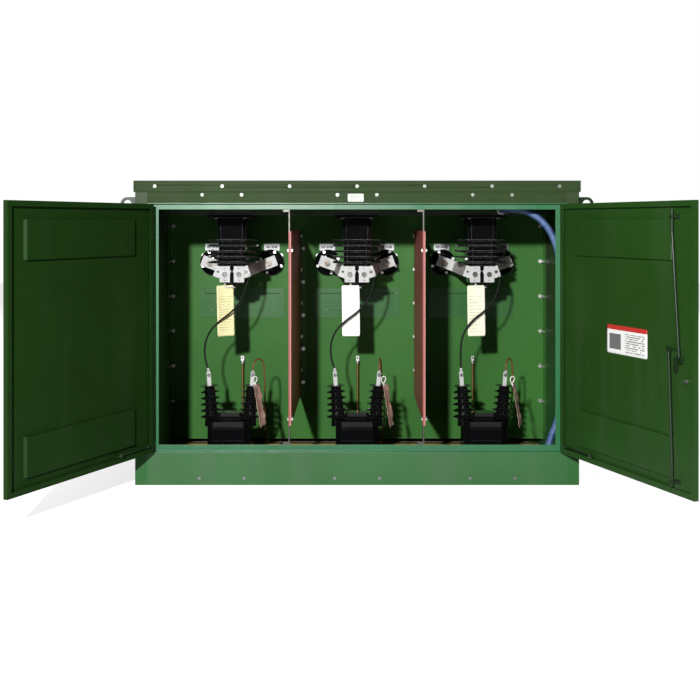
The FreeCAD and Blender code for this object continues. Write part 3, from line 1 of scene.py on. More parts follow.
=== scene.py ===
"""Looks of the pad-mounted metering cabinet: every CAD node gets a procedural material, and the cords,
cards, labels and ties are pieces of their own. Metres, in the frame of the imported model."""

import math
import random

import bpy
from mathutils import Matrix, Vector


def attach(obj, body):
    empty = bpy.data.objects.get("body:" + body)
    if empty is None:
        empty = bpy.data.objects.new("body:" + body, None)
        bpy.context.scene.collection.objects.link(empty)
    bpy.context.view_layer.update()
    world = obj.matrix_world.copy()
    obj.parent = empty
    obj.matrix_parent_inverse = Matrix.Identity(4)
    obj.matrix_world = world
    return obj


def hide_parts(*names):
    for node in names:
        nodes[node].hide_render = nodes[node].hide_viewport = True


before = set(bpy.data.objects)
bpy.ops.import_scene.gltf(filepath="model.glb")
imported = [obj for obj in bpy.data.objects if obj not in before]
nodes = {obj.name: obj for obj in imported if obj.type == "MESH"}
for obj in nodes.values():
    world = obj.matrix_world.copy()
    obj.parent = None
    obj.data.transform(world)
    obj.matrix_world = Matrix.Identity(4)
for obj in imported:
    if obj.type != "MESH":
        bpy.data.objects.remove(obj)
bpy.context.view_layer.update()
random.seed(7)

PHASE_PITCH = 0.548
PHASES = (("left", -PHASE_PITCH), ("middle", 0.0), ("right", PHASE_PITCH))
RIGHT_HINGE = Vector((0.840, -0.709, 0.0))
RIGHT_OPEN = math.radians(111.05)
FRONT = -0.700
INK = (0.03, 0.03, 0.035, 1)
PLATED_METALLIC = 0.88


# ---- camera ---------------------------------------------------------------------------------
camera = bpy.data.objects.new("camera", bpy.data.cameras.new("camera"))
bpy.context.scene.collection.objects.link(camera)
bpy.context.scene.camera = camera
camera.location = (-0.009, -5.089, 1.062)
camera.rotation_euler = (math.radians(90), 0, 0)
camera.data.lens = 55.68
camera.data.sensor_width = 36
camera.data.shift_x = -0.007
camera.data.shift_y = -0.170
camera.data.clip_end = 60


# ---- shader building --------------------------------------------------------------------------
class Shader:
    """A material being built: a Principled BSDF, and short ways to add the nodes that feed it."""

    def __init__(self, name, roughness=0.5, metallic=0.0, **sockets):
        self.material = bpy.data.materials.new(name)
        self.material.use_nodes = True
        self.tree = self.material.node_tree
        self.surface = self.tree.nodes["Principled BSDF"]
        self.surface.inputs["Roughness"].default_value = roughness
        self.surface.inputs["Metallic"].default_value = metallic
        for socket, value in sockets.items():
            self.surface.inputs[socket.replace("_", " ")].default_value = value
        self.coordinates = self.add("ShaderNodeTexCoord")
        self.place = self.coordinates.outputs["Object"]
        self.normal = None

    def add(self, kind, **settings):
        node = self.tree.nodes.new(kind)
        for key, value in settings.items():
            setattr(node, key, value)
        return node

    def feed(self, socket, value):
        """Links an output, or writes a constant, into an input socket."""
        if isinstance(value, bpy.types.NodeSocket):
            self.tree.links.new(value, socket)
        else:
            socket.default_value = value

    def noise(self, scale, detail=3.0, rough=0.5, stretch=None, place=None):
        node = self.add("ShaderNodeTexNoise")
        node.inputs["Scale"].default_value = scale
        node.inputs["Detail"].default_value = detail
        node.inputs["Roughness"].default_value = rough
        where = place or self.place
        if stretch:
            mapping = self.add("ShaderNodeMapping")
            mapping.inputs["Scale"].default_value = stretch
            self.feed(mapping.inputs["Vector"], where)
            where = mapping.outputs["Vector"]
        self.feed(node.inputs["Vector"], where)
        return node.outputs["Fac"]

    def spread(self, value, low, high, to_low=0.0, to_high=1.0):
        node = self.add("ShaderNodeMapRange", clamp=True)
        self.feed(node.inputs["Value"], value)
        node.inputs["From Min"].default_value = low
        node.inputs["From Max"].default_value = high
        node.inputs["To Min"].default_value = to_low
        node.inputs["To Max"].default_value = to_high
        return node.outputs["Result"]

    def math(self, operation, first, second=0.0, third=0.0):
        node = self.add("ShaderNodeMath", operation=operation)
        for socket, value in zip(node.inputs, (first, second, third)):
            self.feed(socket, value)
        return node.outputs[0]

    def mix(self, share, first, second):
        node = self.add("ShaderNodeMix", data_type="RGBA")
        self.feed(node.inputs["Factor"], share)
        self.feed(node.inputs[6], first)
        self.feed(node.inputs[7], second)
        return node.outputs[2]

    def scale(self, colour, amount):
        """A colour made lighter or darker by an amount that may vary over the surface."""
        node = self.add("ShaderNodeVectorMath", operation="SCALE")
        if isinstance(colour, bpy.types.NodeSocket):
            self.feed(node.inputs[0], colour)
        else:
            self.feed(node.inputs[0], colour[:3])
        self.feed(node.inputs["Scale"], amount)
        return node.outputs[0]

    def axes(self, vector=None):
        node = self.add("ShaderNodeSeparateXYZ")
        self.feed(node.inputs[0], vector or self.place)
        return node.outputs

    def facing(self):
        """The surface's normal, split into its axes."""
        return self.axes(self.add("ShaderNodeNewGeometry").outputs["Normal"])

    def between(self, value, low, high):
        """1 where a value lies between two limits, 0 elsewhere."""
        above, below = self.math("GREATER_THAN", value, low), self.math("LESS_THAN", value, high)
        return self.math("MULTIPLY", above, below)

    def from_phase(self):
        """Distance across the cabinet from the middle of the nearest phase."""
        half = PHASE_PITCH / 2
        return self.math("ABSOLUTE", self.math("WRAP", self.axes()[0], half, -half))

    def metal_below(self, covered):
        """Takes away the metal's shine where it is covered by paint, and returns its colour."""
        self.feed(self.surface.inputs["Metallic"], self.spread(covered, 0.0, 1.0, PLATED_METALLIC, 0.0))
        return self.plain_colour()

    def plain_colour(self):
        """The colour output that feeds the surface so far."""
        return self.surface.inputs["Base Color"].links[0].from_socket

    def bump(self, height, strength, distance):
        node = self.add("ShaderNodeBump")
        node.inputs["Strength"].default_value = strength
        node.inputs["Distance"].default_value = distance
        self.feed(node.inputs["Height"], height)
        if self.normal:
            self.feed(node.inputs["Normal"], self.normal)
        self.normal = node.outputs["Normal"]

    def edges(self, radius):
        """1 on the rounded edges of a shape, 0 on its faces."""
        bevel = self.add("ShaderNodeBevel", samples=4)
        bevel.inputs["Radius"].default_value = radius
        geometry = self.add("ShaderNodeNewGeometry")
        dot = self.add("ShaderNodeVectorMath", operation="DOT_PRODUCT")
        self.feed(dot.inputs[0], bevel.outputs["Normal"])
        self.feed(dot.inputs[1], geometry.outputs["Normal"])
        return self.spread(dot.outputs["Value"], 0.995, 0.90)

    def colour(self, value):
        self.feed(self.surface.inputs["Base Color"], value)

    def roughness(self, value):
        self.feed(self.surface.inputs["Roughness"], value)

    def done(self):
        if self.normal:
            self.feed(self.surface.inputs["Normal"], self.normal)
        return self.material


def rgb(red, green, blue):
    """A screen colour out of 255 as linear light."""
    linear = [(c / 255 / 12.92) if c <= 10 else ((c / 255 + 0.055) / 1.055) ** 2.4
              for c in (red, green, blue)]
    return (*linear, 1)


def shade(colour, amount):
    return (*[min(1.0, c * amount) for c in colour[:3]], 1)


# ---- materials --------------------------------------------------------------------------------
def paint(name, colour, roughness=0.42, dust=0.25, worn=0.35, low_colour=None, gloss=0.5):
    """Powder-coated steel: orange peel, faint clouds in the colour, dust that has run down, worn edges.
    With a low colour, the paint fades to it toward the ground."""
    s = Shader(name, Coat_Weight=gloss * 0.2, Coat_Roughness=0.25, Specular_IOR_Level=gloss)
    if low_colour:
        colour = s.mix(s.spread(s.axes()[2], 0.25, 0.75), low_colour, colour)
    cloud = s.noise(2.3, 4, 0.6)
    streak = s.noise(9, 4, 0.6, stretch=(1.0, 1.0, 0.12))
    speck = s.noise(420, 2, 0.6)
    tone = s.math("ADD", s.spread(cloud, 0.35, 0.65, 0.90, 1.08), s.spread(speck, 0.40, 0.70, 0.0, 0.10))
    base = s.scale(colour, tone)
    dusty = s.spread(streak, 0.52, 0.78, 0.0, dust)
    base = s.mix(dusty, base, (0.10, 0.125, 0.09, 1))
    rim = s.math("MULTIPLY", s.edges(0.0016), s.spread(s.noise(60, 3, 0.7), 0.35, 0.6, 0.2, 1.0))
    base = s.mix(s.math("MULTIPLY", rim, worn), base, s.scale(colour, 1.9))
    s.colour(base)
    s.roughness(s.spread(s.math("ADD", streak, s.math("MULTIPLY", speck, 0.25)), 0.4, 0.85,
                         roughness - 0.05, roughness + 0.14))
    s.bump(s.noise(620, 2, 0.5), 0.22, 0.0004)
    s.bump(s.noise(6, 2, 0.4), 0.25, 0.0012)
    return s.done()


def cast_resin():
    """Glossy black casting resin, with dust on its top faces, and painted highlights on the upward rims of
    the ribs, near white higher up.
    """
    s = Shader("casting_resin", Specular_IOR_Level=0.5)
    up = s.facing()[2]
    cloud = s.noise(14, 4, 0.6)
    settled = s.math("MULTIPLY", s.spread(up, 0.3, 1.0, 0.0, 0.15), s.spread(cloud, 0.35, 0.7, 0.3, 1.0))
    base = s.mix(cloud, (0.0020, 0.0022, 0.0026, 1), (0.0055, 0.0058, 0.0066, 1))
    base = s.mix(settled, base, (0.030, 0.029, 0.027, 1))
    # painted highlight: rims on upward faces are lightened, to near white above about 0.75 m where the ribs
    # catch the light
    rim = s.math("MULTIPLY", s.edges(0.0024), s.spread(s.noise(90, 2, 0.6), 0.40, 0.60, 0.25, 0.9))
    high = s.spread(s.axes()[2], 0.70, 0.75)
    bright = s.mix(high, (0.06, 0.063, 0.066, 1), (0.46, 0.47, 0.48, 1))
    base = s.mix(s.math("MULTIPLY", rim, s.spread(up, -0.2, 0.2)), base, bright)
    s.colour(base)
    s.roughness(s.spread(s.noise(30, 4, 0.65), 0.3, 0.75, 0.035, 0.09))
    s.bump(s.noise(240, 3, 0.6), 0.04, 0.0002)
    s.bump(s.noise(22, 2, 0.4), 0.06, 0.0008)
    return s.done()


def plated(name, colour, roughness, grain=(1.0, 1.0, 22.0), tarnish=0.35, metallic=PLATED_METALLIC):
    """Plated metal: drawn grain along one axis, dull patches, bright edges."""
    s = Shader(name, metallic=metallic)
    patch = s.noise(34, 5, 0.65)
    line = s.noise(55, 3, 0.6, stretch=grain)
    base = s.mix(s.spread(patch, 0.35, 0.75, 0.0, tarnish), colour, shade(colour, 0.55))
    base = s.mix(s.spread(line, 0.3, 0.7, 0.0, 0.4), base, shade(colour, 1.15))
    base = s.mix(s.math("MULTIPLY", s.edges(0.0008), 0.6), base, shade(colour, 1.25))
    s.colour(base)
    s.roughness(s.spread(s.math("ADD", patch, s.math("MULTIPLY", line, 0.4)), 0.45, 1.05,
                         roughness - 0.07, roughness + 0.16))
    s.bump(line, 0.10, 0.0003)
    s.bump(patch, 0.10, 0.0005)
    return s


def core_iron():
    """Edge-on laminations, with a film of varnish and light rust."""
    s = Shader("iron_laminations", metallic=0.6)
    band = s.math("PINGPONG", s.math("MULTIPLY", s.axes()[1], 900.0), 1.0)
    rust = s.spread(s.noise(26, 5, 0.7), 0.45, 0.75)
    base = s.mix(s.spread(band, 0.1, 0.6), (0.05, 0.05, 0.05, 1), (0.20, 0.19, 0.18, 1))
    s.colour(s.mix(rust, base, (0.12, 0.06, 0.03, 1)))
    s.roughness(s.spread(rust, 0, 1, 0.38, 0.75))
    s.bump(band, 0.25, 0.0004)
    return s.done()


def barrier_sheet():
    """Pink-red glass polyester: chopped strand under a matt skin, paler on the cut edges, partly because the
    glass shows there and partly as a painted highlight for edges facing the light.
    """
    s = Shader("glass_polyester", Subsurface_Weight=0.08, Subsurface_Radius=(0.012, 0.004, 0.003))
    fibre = s.noise(260, 4, 0.75, stretch=(1.0, 0.22, 1.0))
    cross = s.noise(240, 4, 0.75, stretch=(1.0, 1.0, 0.2))
    cloud = s.noise(5, 3, 0.6)
    strand = s.math("MAXIMUM", fibre, cross)
    base = s.mix(s.spread(strand, 0.5, 0.75), (0.36, 0.075, 0.065, 1), (0.60, 0.21, 0.18, 1))
    base = s.mix(s.spread(cloud, 0.4, 0.7, 0.0, 0.45), base, (0.235, 0.040, 0.034, 1))
    # cut edges lightened: partly the glass showing, partly a painted highlight for the edges that face the
    # light
    cut_edge_and_highlight = s.spread(s.math("ABSOLUTE", s.facing()[0]), 0.7, 0.2)
    base = s.mix(s.math("MULTIPLY", cut_edge_and_highlight, 0.85), base, (0.58, 0.25, 0.225, 1))
    s.colour(base)
    s.roughness(s.spread(strand, 0.3, 0.8, 0.42, 0.66))
    s.bump(strand, 0.25, 0.0003)
    return s.done()


def jacket(name, colour, roughness, sheen=0.0, gloss=0.5):
    """Extruded cable jacket: faint draw lines, scuffs and talc."""
    s = Shader(name, Sheen_Weight=sheen, Specular_IOR_Level=gloss)
    scuff = s.noise(90, 5, 0.7)
    base = s.mix(s.spread(scuff, 0.55, 0.8, 0.0, 0.5), colour, shade(colour, 2.2))
    s.colour(base)
    s.roughness(s.spread(scuff, 0.3, 0.8, roughness, roughness + 0.2))
    s.bump(s.noise(500, 3, 0.6, stretch=(1, 1, 0.2)), 0.15, 0.0003)
    return s.done()


def conduit_jacket():
    """Blue-grey liquid-tight conduit: the wound core telegraphs through the jacket as shallow ribs, with
    painted shade darkening the grooves between them.
    """
    s = Shader("conduit_jacket", Coat_Weight=0.2, Coat_Roughness=0.3)
    x, _, z = s.axes()
    along = s.math("SUBTRACT", z, x)
    rib = s.math("PINGPONG", s.math("MULTIPLY", along, 330.0), 1.0)
    scuff = s.noise(40, 5, 0.65)
    base = s.mix(s.spread(scuff, 0.4, 0.75), rgb(58, 86, 140), rgb(110, 134, 172))
    # painted shade: the grooves between the ribs are darkened toward a deep blue
    s.colour(s.mix(s.spread(rib, 0.0, 0.5, 0.35, 0.0), base, rgb(45, 60, 88)))
    s.roughness(s.spread(scuff, 0.3, 0.8, 0.34, 0.55))
    s.bump(rib, 0.5, 0.0009)
    s.bump(s.noise(300, 3, 0.6), 0.12, 0.0003)
    return s.done()


def printed(name, paper, ink, rows, left=0.10, right=0.90, low=0.08, high=0.80, fill=0.45, aged=0.3,
            band=None, band_low=0.8, block=None):
    """Card or plastic with rows of plain broken bars, laid out on the piece's own UV square.
    A band of colour may run across the top, and a block of rows may be left for a plain shape."""
    s = Shader(name, Coat_Weight=0.1, Coat_Roughness=0.4)
    u, v, _ = s.axes(s.coordinates.outputs["UV"])
    row = s.math("MULTIPLY", v, float(rows))
    step = s.math("FLOOR", row)
    within = s.math("FRACT", row)
    stroke = s.math("LESS_THAN", s.math("ABSOLUTE", s.math("SUBTRACT", within, 0.5)), fill / 2)
    place = s.add("ShaderNodeCombineXYZ")
    s.feed(place.inputs[0], s.math("MULTIPLY", u, 18.0))
    s.feed(place.inputs[1], s.math("MULTIPLY", step, 7.31))
    gaps = s.add("ShaderNodeTexNoise")
    gaps.inputs["Scale"].default_value = 1.0
    gaps.inputs["Detail"].default_value = 1.0
    s.feed(gaps.inputs["Vector"], place.outputs[0])
    word = s.math("GREATER_THAN", gaps.outputs["Fac"], 0.44)
    inside = s.math("MULTIPLY", s.between(u, left, right), s.between(v, low, high))
    mark = s.math("MULTIPLY", s.math("MULTIPLY", stroke, word), inside)
    stain = s.noise(22, 5, 0.65)
    base = s.mix(s.spread(stain, 0.4, 0.8, 0.0, aged), paper, shade(paper, 0.72))
    if block:
        u0, u1, v0, v1 = block
        solid = s.math("MULTIPLY", s.between(u, u0, u1), s.between(v, v0, v1))
        mark = s.math("MAXIMUM", mark, solid)
    base = s.mix(s.math("MULTIPLY", mark, 0.85), base, ink)
    if band:
        base = s.mix(s.math("GREATER_THAN", v, band_low), base, band)
    s.colour(base)
    s.roughness(s.spread(stain, 0.3, 0.8, 0.45, 0.7))
    s.bump(s.noise(300, 3, 0.6), 0.12, 0.0002)
    return s.done()


GREEN_WALL = rgb(57, 110, 46)
GREEN_CAP = rgb(47, 66, 35)
GREEN_BASE = rgb(47, 100, 50)
# painted shade: the doors' green is the cabinet green darkened for doors that face away from the light
GREEN_DOOR_SHADED = rgb(33, 69, 20)
GREEN_DARK = rgb(20, 42, 18)
ZINC = (0.74, 0.74, 0.71, 1)
NO_GRAIN = (8, 8, 8)
wall_paint = paint("paint_wall", GREEN_WALL, roughness=0.46, dust=0.06, gloss=0.15)
cap_paint = paint("paint_cap", GREEN_CAP, roughness=0.60, dust=0.06, gloss=0.12)
side_paint = paint("paint_side", GREEN_CAP, roughness=0.50, dust=0.08, low_colour=GREEN_BASE, gloss=0.25)
base_paint = paint("paint_base", GREEN_BASE, roughness=0.46, dust=0.25)
door_paint = paint("paint_door", GREEN_DOOR_SHADED, roughness=0.36, dust=0.08)
# painted shade: the left door's paint is the door green darkened to 0.60, as that door turns further from
# the light
shaded_paint = paint("paint_shaded_door", shade(GREEN_DOOR_SHADED, 0.60), roughness=0.52, dust=0.05, gloss=0.15)
dark_paint = paint("paint_dark", GREEN_DARK, roughness=0.30, dust=0.08, worn=0.8)
frame_paint = paint("paint_frame", rgb(48, 109, 70), roughness=0.30, dust=0.10)
plate_paint = paint("paint_plate", rgb(50, 104, 50), roughness=0.30, dust=0.04, worn=0.6, gloss=0.3)
resin = cast_resin()
tin = plated("tin_plate", (0.50, 0.50, 0.49, 1), 0.50, grain=(1, 22, 1), tarnish=0.2,
             metallic=0.12).done()
dull_zinc = plated("dull_zinc", (0.26, 0.28, 0.25, 1), 0.44, grain=NO_GRAIN, tarnish=0.6).done()
zinc = plated("zinc_plate", ZINC, 0.30, grain=NO_GRAIN, tarnish=0.5).done()


COVER_Z, COVER_HALF = (0.60, 0.76), 0.21


def wall_fasteners():
    """Zinc bolts, with the ones through the cover plates painted over with the wall."""
    s = plated("wall_fasteners", ZINC, 0.30, grain=NO_GRAIN, tarnish=0.5)
    on_covers = s.between(s.axes()[2], *COVER_Z)
    painted = s.math("MULTIPLY", on_covers, s.math("LESS_THAN", s.from_phase(), COVER_HALF))
    s.colour(s.mix(painted, s.metal_below(painted), shade(GREEN_WALL, 1.3)))
    return s.done()


EARTH_LUG_LOW = 0.393


def earth_copper():
    """Browned copper rods and bar, with the lug at the top of each rod tinned."""
    s = plated("earth_copper", (0.40, 0.22, 0.08, 1), 0.36, grain=(1, 1, 0.1), tarnish=0.6)
    tinned = s.math("GREATER_THAN", s.axes()[2], EARTH_LUG_LOW)
    s.colour(s.mix(tinned, s.plain_colour(), (0.66, 0.66, 0.64, 1)))
    return s.done()


iron = core_iron()
glastic = barrier_sheet()
black_jacket = jacket("black_jacket", (0.004, 0.004, 0.0045, 1), 0.45, gloss=0.2)
brown_jacket = jacket("brown_jacket", (0.16, 0.065, 0.018, 1), 0.38)
blue_jacket = conduit_jacket()
white_nylon = jacket("white_nylon", (0.80, 0.79, 0.74, 1), 0.40, sheen=0.1)


WALL_STUD_X = (0.118, 0.160)


def stud_metal():
    """Zinc fasteners, browner where the bars meet the studs that pass through the wall."""
    s = plated("stud_metal", (0.22, 0.22, 0.215, 1), 0.22, grain=NO_GRAIN, tarnish=0.45)
    s.colour(s.mix(s.between(s.from_phase(), *WALL_STUD_X), s.plain_colour(), (0.26, 0.22, 0.19, 1)))
    return s.done()


PINK_Z, TRIM_FRONT = (0.235, 1.028), -0.3


def barrier_trim():
    """Barrier supports: the strip is the barrier's pink up its height, galvanised beyond it, and the rear
    angles are painted with the wall."""
    s = plated("barrier_trim", (0.12, 0.12, 0.10, 1), 0.42, grain=(2, 12, 2), tarnish=0.6)
    _, y, z = s.axes()
    pink = s.between(z, *PINK_Z)
    front = s.math("LESS_THAN", y, TRIM_FRONT)
    painted = s.math("MAXIMUM", pink, s.math("SUBTRACT", 1.0, front))
    strip = s.mix(pink, s.metal_below(painted), (0.36, 0.095, 0.082, 1))
    s.colour(s.mix(front, GREEN_WALL, strip))
    return s.done()


studs = stud_metal()
fasteners = wall_fasteners()
earth = earth_copper()
trim = barrier_trim()

CASTINGS = tuple(f"{phase}_{kind}_transformer" for phase, _ in PHASES for kind in ("current", "voltage"))
FINISHES = {
    wall_paint: ("compartment_wall", "wall_angles"),
    side_paint: ("left_side_wall", "right_side_wall"),
    cap_paint: ("roof_cap", "front_header", "rear_header"),
    base_paint: ("base_frame", "front_sill", "rear_sill"),
    shaded_paint: ("left_door", "left_door_stiffeners"),
    door_paint: ("right_door", "right_door_stiffeners",
                 "rear_left_door", "rear_right_door", "door_handle", "rear_handle"),
    dark_paint: ("lifting_lugs", "frame_hinges", "mounting_channels", "latch_cam", "latch_guides",
                 "left_door_stay", "right_door_stay", "upper_latch_rod", "lower_latch_rod"),
    frame_paint: ("front_door_frame", "rear_door_frame"),
    plate_paint: ("cover_plates",),
    resin: CASTINGS + ("wall_bushings", "bushing_clamps"),
    tin: ("ct_terminals", "vt_terminals", "bus_bars", "cable_lugs"),
    zinc: ("conduit_fittings",),
    fasteners: ("wall_bolts",),
    dull_zinc: ("shell_bolts", "lock_bolt"),
    trim: ("barrier_supports",),
    studs: ("terminal_bolts",),
    earth: ("ground_bus",),
    iron: ("transformer_cores",),
    glastic: ("phase_barriers",),
    blue_jacket: ("conduit",),
}
for material, names in FINISHES.items():
    for name in names:
        for slot in nodes[name].material_slots:
            slot.material = material

# rolled or broken edges of the sheet metal, bars and plates
EDGE_RADIUS = {
    0.0011: ("roof_cap", "front_door_frame", "rear_door_frame", "left_door", "right_door",
             "rear_left_door", "rear_right_door", "left_door_stiffeners", "right_door_stiffeners"),
    0.0014: CASTINGS,
    0.0008: ("bus_bars", "ct_terminals", "mounting_channels", "barrier_supports", "cover_plates",
             "latch_cam", "lifting_lugs", "phase_barriers"),
}
for radius, names in EDGE_RADIUS.items():
    for name in names:
        weld = nodes[name].modifiers.new("weld", "WELD")
        weld.merge_threshold = 0.00001
        bevel = nodes[name].modifiers.new("bevel", "BEVEL")
        bevel.width = radius
        bevel.segments = 2
        bevel.limit_method = "ANGLE"
        bevel.angle_limit = math.radians(40)
        bevel.use_clamp_overlap = True
        flatten = nodes[name].modifiers.new("flatten", "WEIGHTED_NORMAL")
        flatten.keep_sharp = True


# ---- pieces -----------------------------------------------------------------------------------
def place_piece(piece, body, material, stands_for=()):
    """Links a finished piece into the scene, on a body, in a material."""
    bpy.context.scene.collection.objects.link(piece)
    piece.data.materials.append(material)
    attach(piece, body)
    for node in stands_for:
        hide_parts(node)
    return piece


def route_curve(name, points, diameter, sides=5):
    """A round cord whose NURBS control points are the given route, in metres."""
    curve = bpy.data.curves.new(name, "CURVE")
    curve.dimensions = "3D"
    spline = curve.splines.new("NURBS")
    spline.points.add(len(points) - 1)
    for point, place in zip(spline.points, points):
        point.co = (*place, 1)
    spline.order_u = 3
    spline.use_endpoint_u = True
    curve.bevel_depth = diameter / 2
    curve.bevel_resolution = sides
    curve.resolution_u = 12
    curve.use_fill_caps = True
    return bpy.data.objects.new(name, curve)


# ---- cords ------------------------------------------------------------------------------------
# Route points are metres from the middle of their phase: x, y, z.
JUMPER_D, LEAD_D = 0.008, 0.007
JUMPERS = {
    "left": (0.465, [(0.075, -0.352, 0.826), (0.070, -0.357, 0.800), (0.055, -0.363, 0.760),
                     (0.038, -0.367, 0.715), (0.000, -0.372, 0.672), (-0.052, -0.375, 0.634),
                     (-0.092, -0.377, 0.592), (-0.112, -0.380, 0.545), (-0.115, -0.384, 0.497),
                     (-0.107, -0.390, 0.455), (-0.098, -0.397, 0.432)]),
    "middle": (0.468, [(0.075, -0.352, 0.826), (0.074, -0.357, 0.800), (0.064, -0.363, 0.762),
                       (0.042, -0.368, 0.718), (0.004, -0.373, 0.674), (-0.052, -0.376, 0.636),
                       (-0.095, -0.378, 0.590), (-0.113, -0.381, 0.543), (-0.115, -0.386, 0.497),
                       (-0.107, -0.391, 0.455), (-0.098, -0.397, 0.432)]),
    "right": (0.455, [(0.075, -0.352, 0.826), (0.075, -0.357, 0.802), (0.066, -0.362, 0.766),
                      (0.048, -0.367, 0.722), (0.014, -0.372, 0.682), (-0.038, -0.376, 0.646),
                      (-0.076, -0.378, 0.600), (-0.094, -0.381, 0.552), (-0.098, -0.386, 0.502),
                      (-0.098, -0.391, 0.458), (-0.097, -0.397, 0.433)]),
}
EARTH_LEADS = {
    "left": (0.771, [(0.097, -0.397, 0.423), (0.098, -0.396, 0.450), (0.110, -0.382, 0.469),
                     (0.127, -0.361, 0.470), (0.139, -0.347, 0.450), (0.142, -0.343, 0.413),
                     (0.144, -0.337, 0.364), (0.143, -0.321, 0.290), (0.139, -0.288, 0.215),
                     (0.134, -0.222, 0.150), (0.129, -0.140, 0.114), (0.124, -0.062, 0.106),
                     (0.122, 0.002, 0.098), (0.121, 0.045, 0.080), (0.121, 0.060, 0.053),
                     (0.121, 0.060, 0.028)]),
    "middle": (0.760, [(0.097, -0.397, 0.423), (0.097, -0.396, 0.450), (0.099, -0.378, 0.470),
                       (0.102, -0.351, 0.470), (0.105, -0.332, 0.450), (0.107, -0.328, 0.412),
                       (0.112, -0.322, 0.362), (0.118, -0.306, 0.290), (0.122, -0.276, 0.215),
                       (0.121, -0.214, 0.152), (0.119, -0.136, 0.114), (0.117, -0.060, 0.105),
                       (0.116, 0.002, 0.098), (0.116, 0.045, 0.080), (0.116, 0.060, 0.053),
                       (0.116, 0.060, 0.028)]),
    "right": (0.768, [(0.097, -0.397, 0.423), (0.097, -0.396, 0.450), (0.106, -0.380, 0.470),
                      (0.121, -0.357, 0.471), (0.132, -0.342, 0.451), (0.135, -0.338, 0.412),
                      (0.137, -0.331, 0.362), (0.136, -0.314, 0.290), (0.131, -0.282, 0.215),
                      (0.126, -0.220, 0.152), (0.121, -0.140, 0.115), (0.117, -0.062, 0.106),
                      (0.115, 0.002, 0.098), (0.115, 0.045, 0.080), (0.115, 0.060, 0.053),
                      (0.115, 0.060, 0.028)]),
}
for phase, centre in PHASES:
    for routes, kind, diameter, material, slot, stiffness, lay in (
            (JUMPERS, "jumper", JUMPER_D, black_jacket, "black_jacket", "medium", "hanging"),
            (EARTH_LEADS, "earth_lead", LEAD_D, brown_jacket, "brown_jacket", "medium", "loose")):
        length, route = routes[phase]
        points = [(x + centre, y, z) for x, y, z in route]
        cord = route_curve(f"{phase}_{kind}_cord", points, diameter)
        place_piece(cord, "cabinet", material, (f"{phase}_{kind}",))


# ---- sheets with print: cards, phase markers, nameplate, safety label -----------------------------
def sheet_piece(name, wide, tall, thick, columns, rows, bend, corner=0.0):
    """A rectangular sheet standing in X and Z from its top middle, on its own UV square.
    bend(x, z) gives how far each point stands forward, and corner rounds the four corners."""
    grid = []
    for j in range(rows + 1):
        for i in range(columns + 1):
            u, v = i / columns, j / rows
            x, z = (u - 0.5) * wide, (v - 1) * tall
            if corner:
                inset_z = min(v, 1 - v) * tall
                if inset_z < corner:
                    pull = corner - math.sqrt(max(0.0, corner ** 2 - (corner - inset_z) ** 2))
                    limit = wide / 2 - pull
                    x = max(-limit, min(limit, x))
            grid.append((x, -bend(x, z), z))
    faces = [(j * (columns + 1) + i, j * (columns + 1) + i + 1,
              (j + 1) * (columns + 1) + i + 1, (j + 1) * (columns + 1) + i)
             for j in range(rows) for i in range(columns)]
    mesh = bpy.data.meshes.new(name)
    mesh.from_pydata(grid, [], faces)
    uv = mesh.uv_layers.new(name="UVMap")
    for loop in mesh.loops:
        k = loop.vertex_index
        uv.data[loop.index].uv = ((k % (columns + 1)) / columns, (k // (columns + 1)) / rows)
    for face in mesh.polygons:
        face.use_smooth = True
    piece = bpy.data.objects.new(name, mesh)
    solid = piece.modifiers.new("solid", "SOLIDIFY")
    solid.thickness = thick
    solid.offset = 1.0
    return piece


cream_card = printed("cream_card", rgb(246, 242, 186), rgb(196, 186, 132), rows=20, high=0.80, fill=0.30,
                     aged=0.35)
white_card = printed("white_card", rgb(252, 252, 244), rgb(214, 214, 206), rows=14, high=0.88, fill=0.26,
                     aged=0.15)
ivory_card = printed("ivory_card", rgb(250, 249, 222), rgb(206, 203, 172), rows=16, high=0.80, fill=0.28,
                     aged=0.22)
sleeve_card = printed("sleeve_card", rgb(206, 170, 154), rgb(184, 146, 130), rows=9, high=0.92, fill=0.3,
                      aged=0.6)
# shift across, twist in degrees, and card stock of each phase's card
CT_CARDS = {"left": (-0.031, 28, cream_card), "middle": (-0.028, -5, white_card),
            "right": (-0.028, 7, ivory_card)}
CARD_WIDE, CARD_TALL, CARD_THICK = 0.078, 0.222, 0.0010
CARD_Y, CARD_TOP, CARD_TILT = -0.345, 0.789, -0.8
SLEEVE_WIDE, SLEEVE_TALL, SLEEVE_THICK = 0.064, 0.180, 0.0012
SLEEVE_X, SLEEVE_Y, SLEEVE_TOP, SLEEVE_LEAN, SLEEVE_TURN = 0.118, -0.478, 0.374, -9, 72
# ties, as steps from the eye of the card
CT_TIE = ((0.001, 0.000, 0.000), (0.004, -0.002, 0.006), (0.002, 0.001, 0.014), (-0.003, 0.003, 0.013),
          (-0.004, -0.001, 0.004), (0.000, -0.002, -0.003), (0.014, -0.003, -0.002), (0.034, -0.002, 0.002),
          (0.046, -0.001, -0.003))
VT_TIE = ((0.000, 0.006, -0.004), (-0.010, -0.002, 0.012), (-0.016, -0.008, 0.030), (-0.006, -0.010, 0.042),
          (0.006, -0.004, 0.034), (0.002, 0.004, 0.018), (-0.008, 0.002, 0.006), (0.002, -0.004, -0.006))


def curl(lean, wave, phase):
    """Soft bow of a hung card: across its width, and a wave down its length."""
    return lambda x, z: (lean * (x / (CARD_WIDE / 2)) ** 2 + wave * math.sin(z * 18 + phase)
                         + 0.004 * (z / CARD_TALL) ** 2)


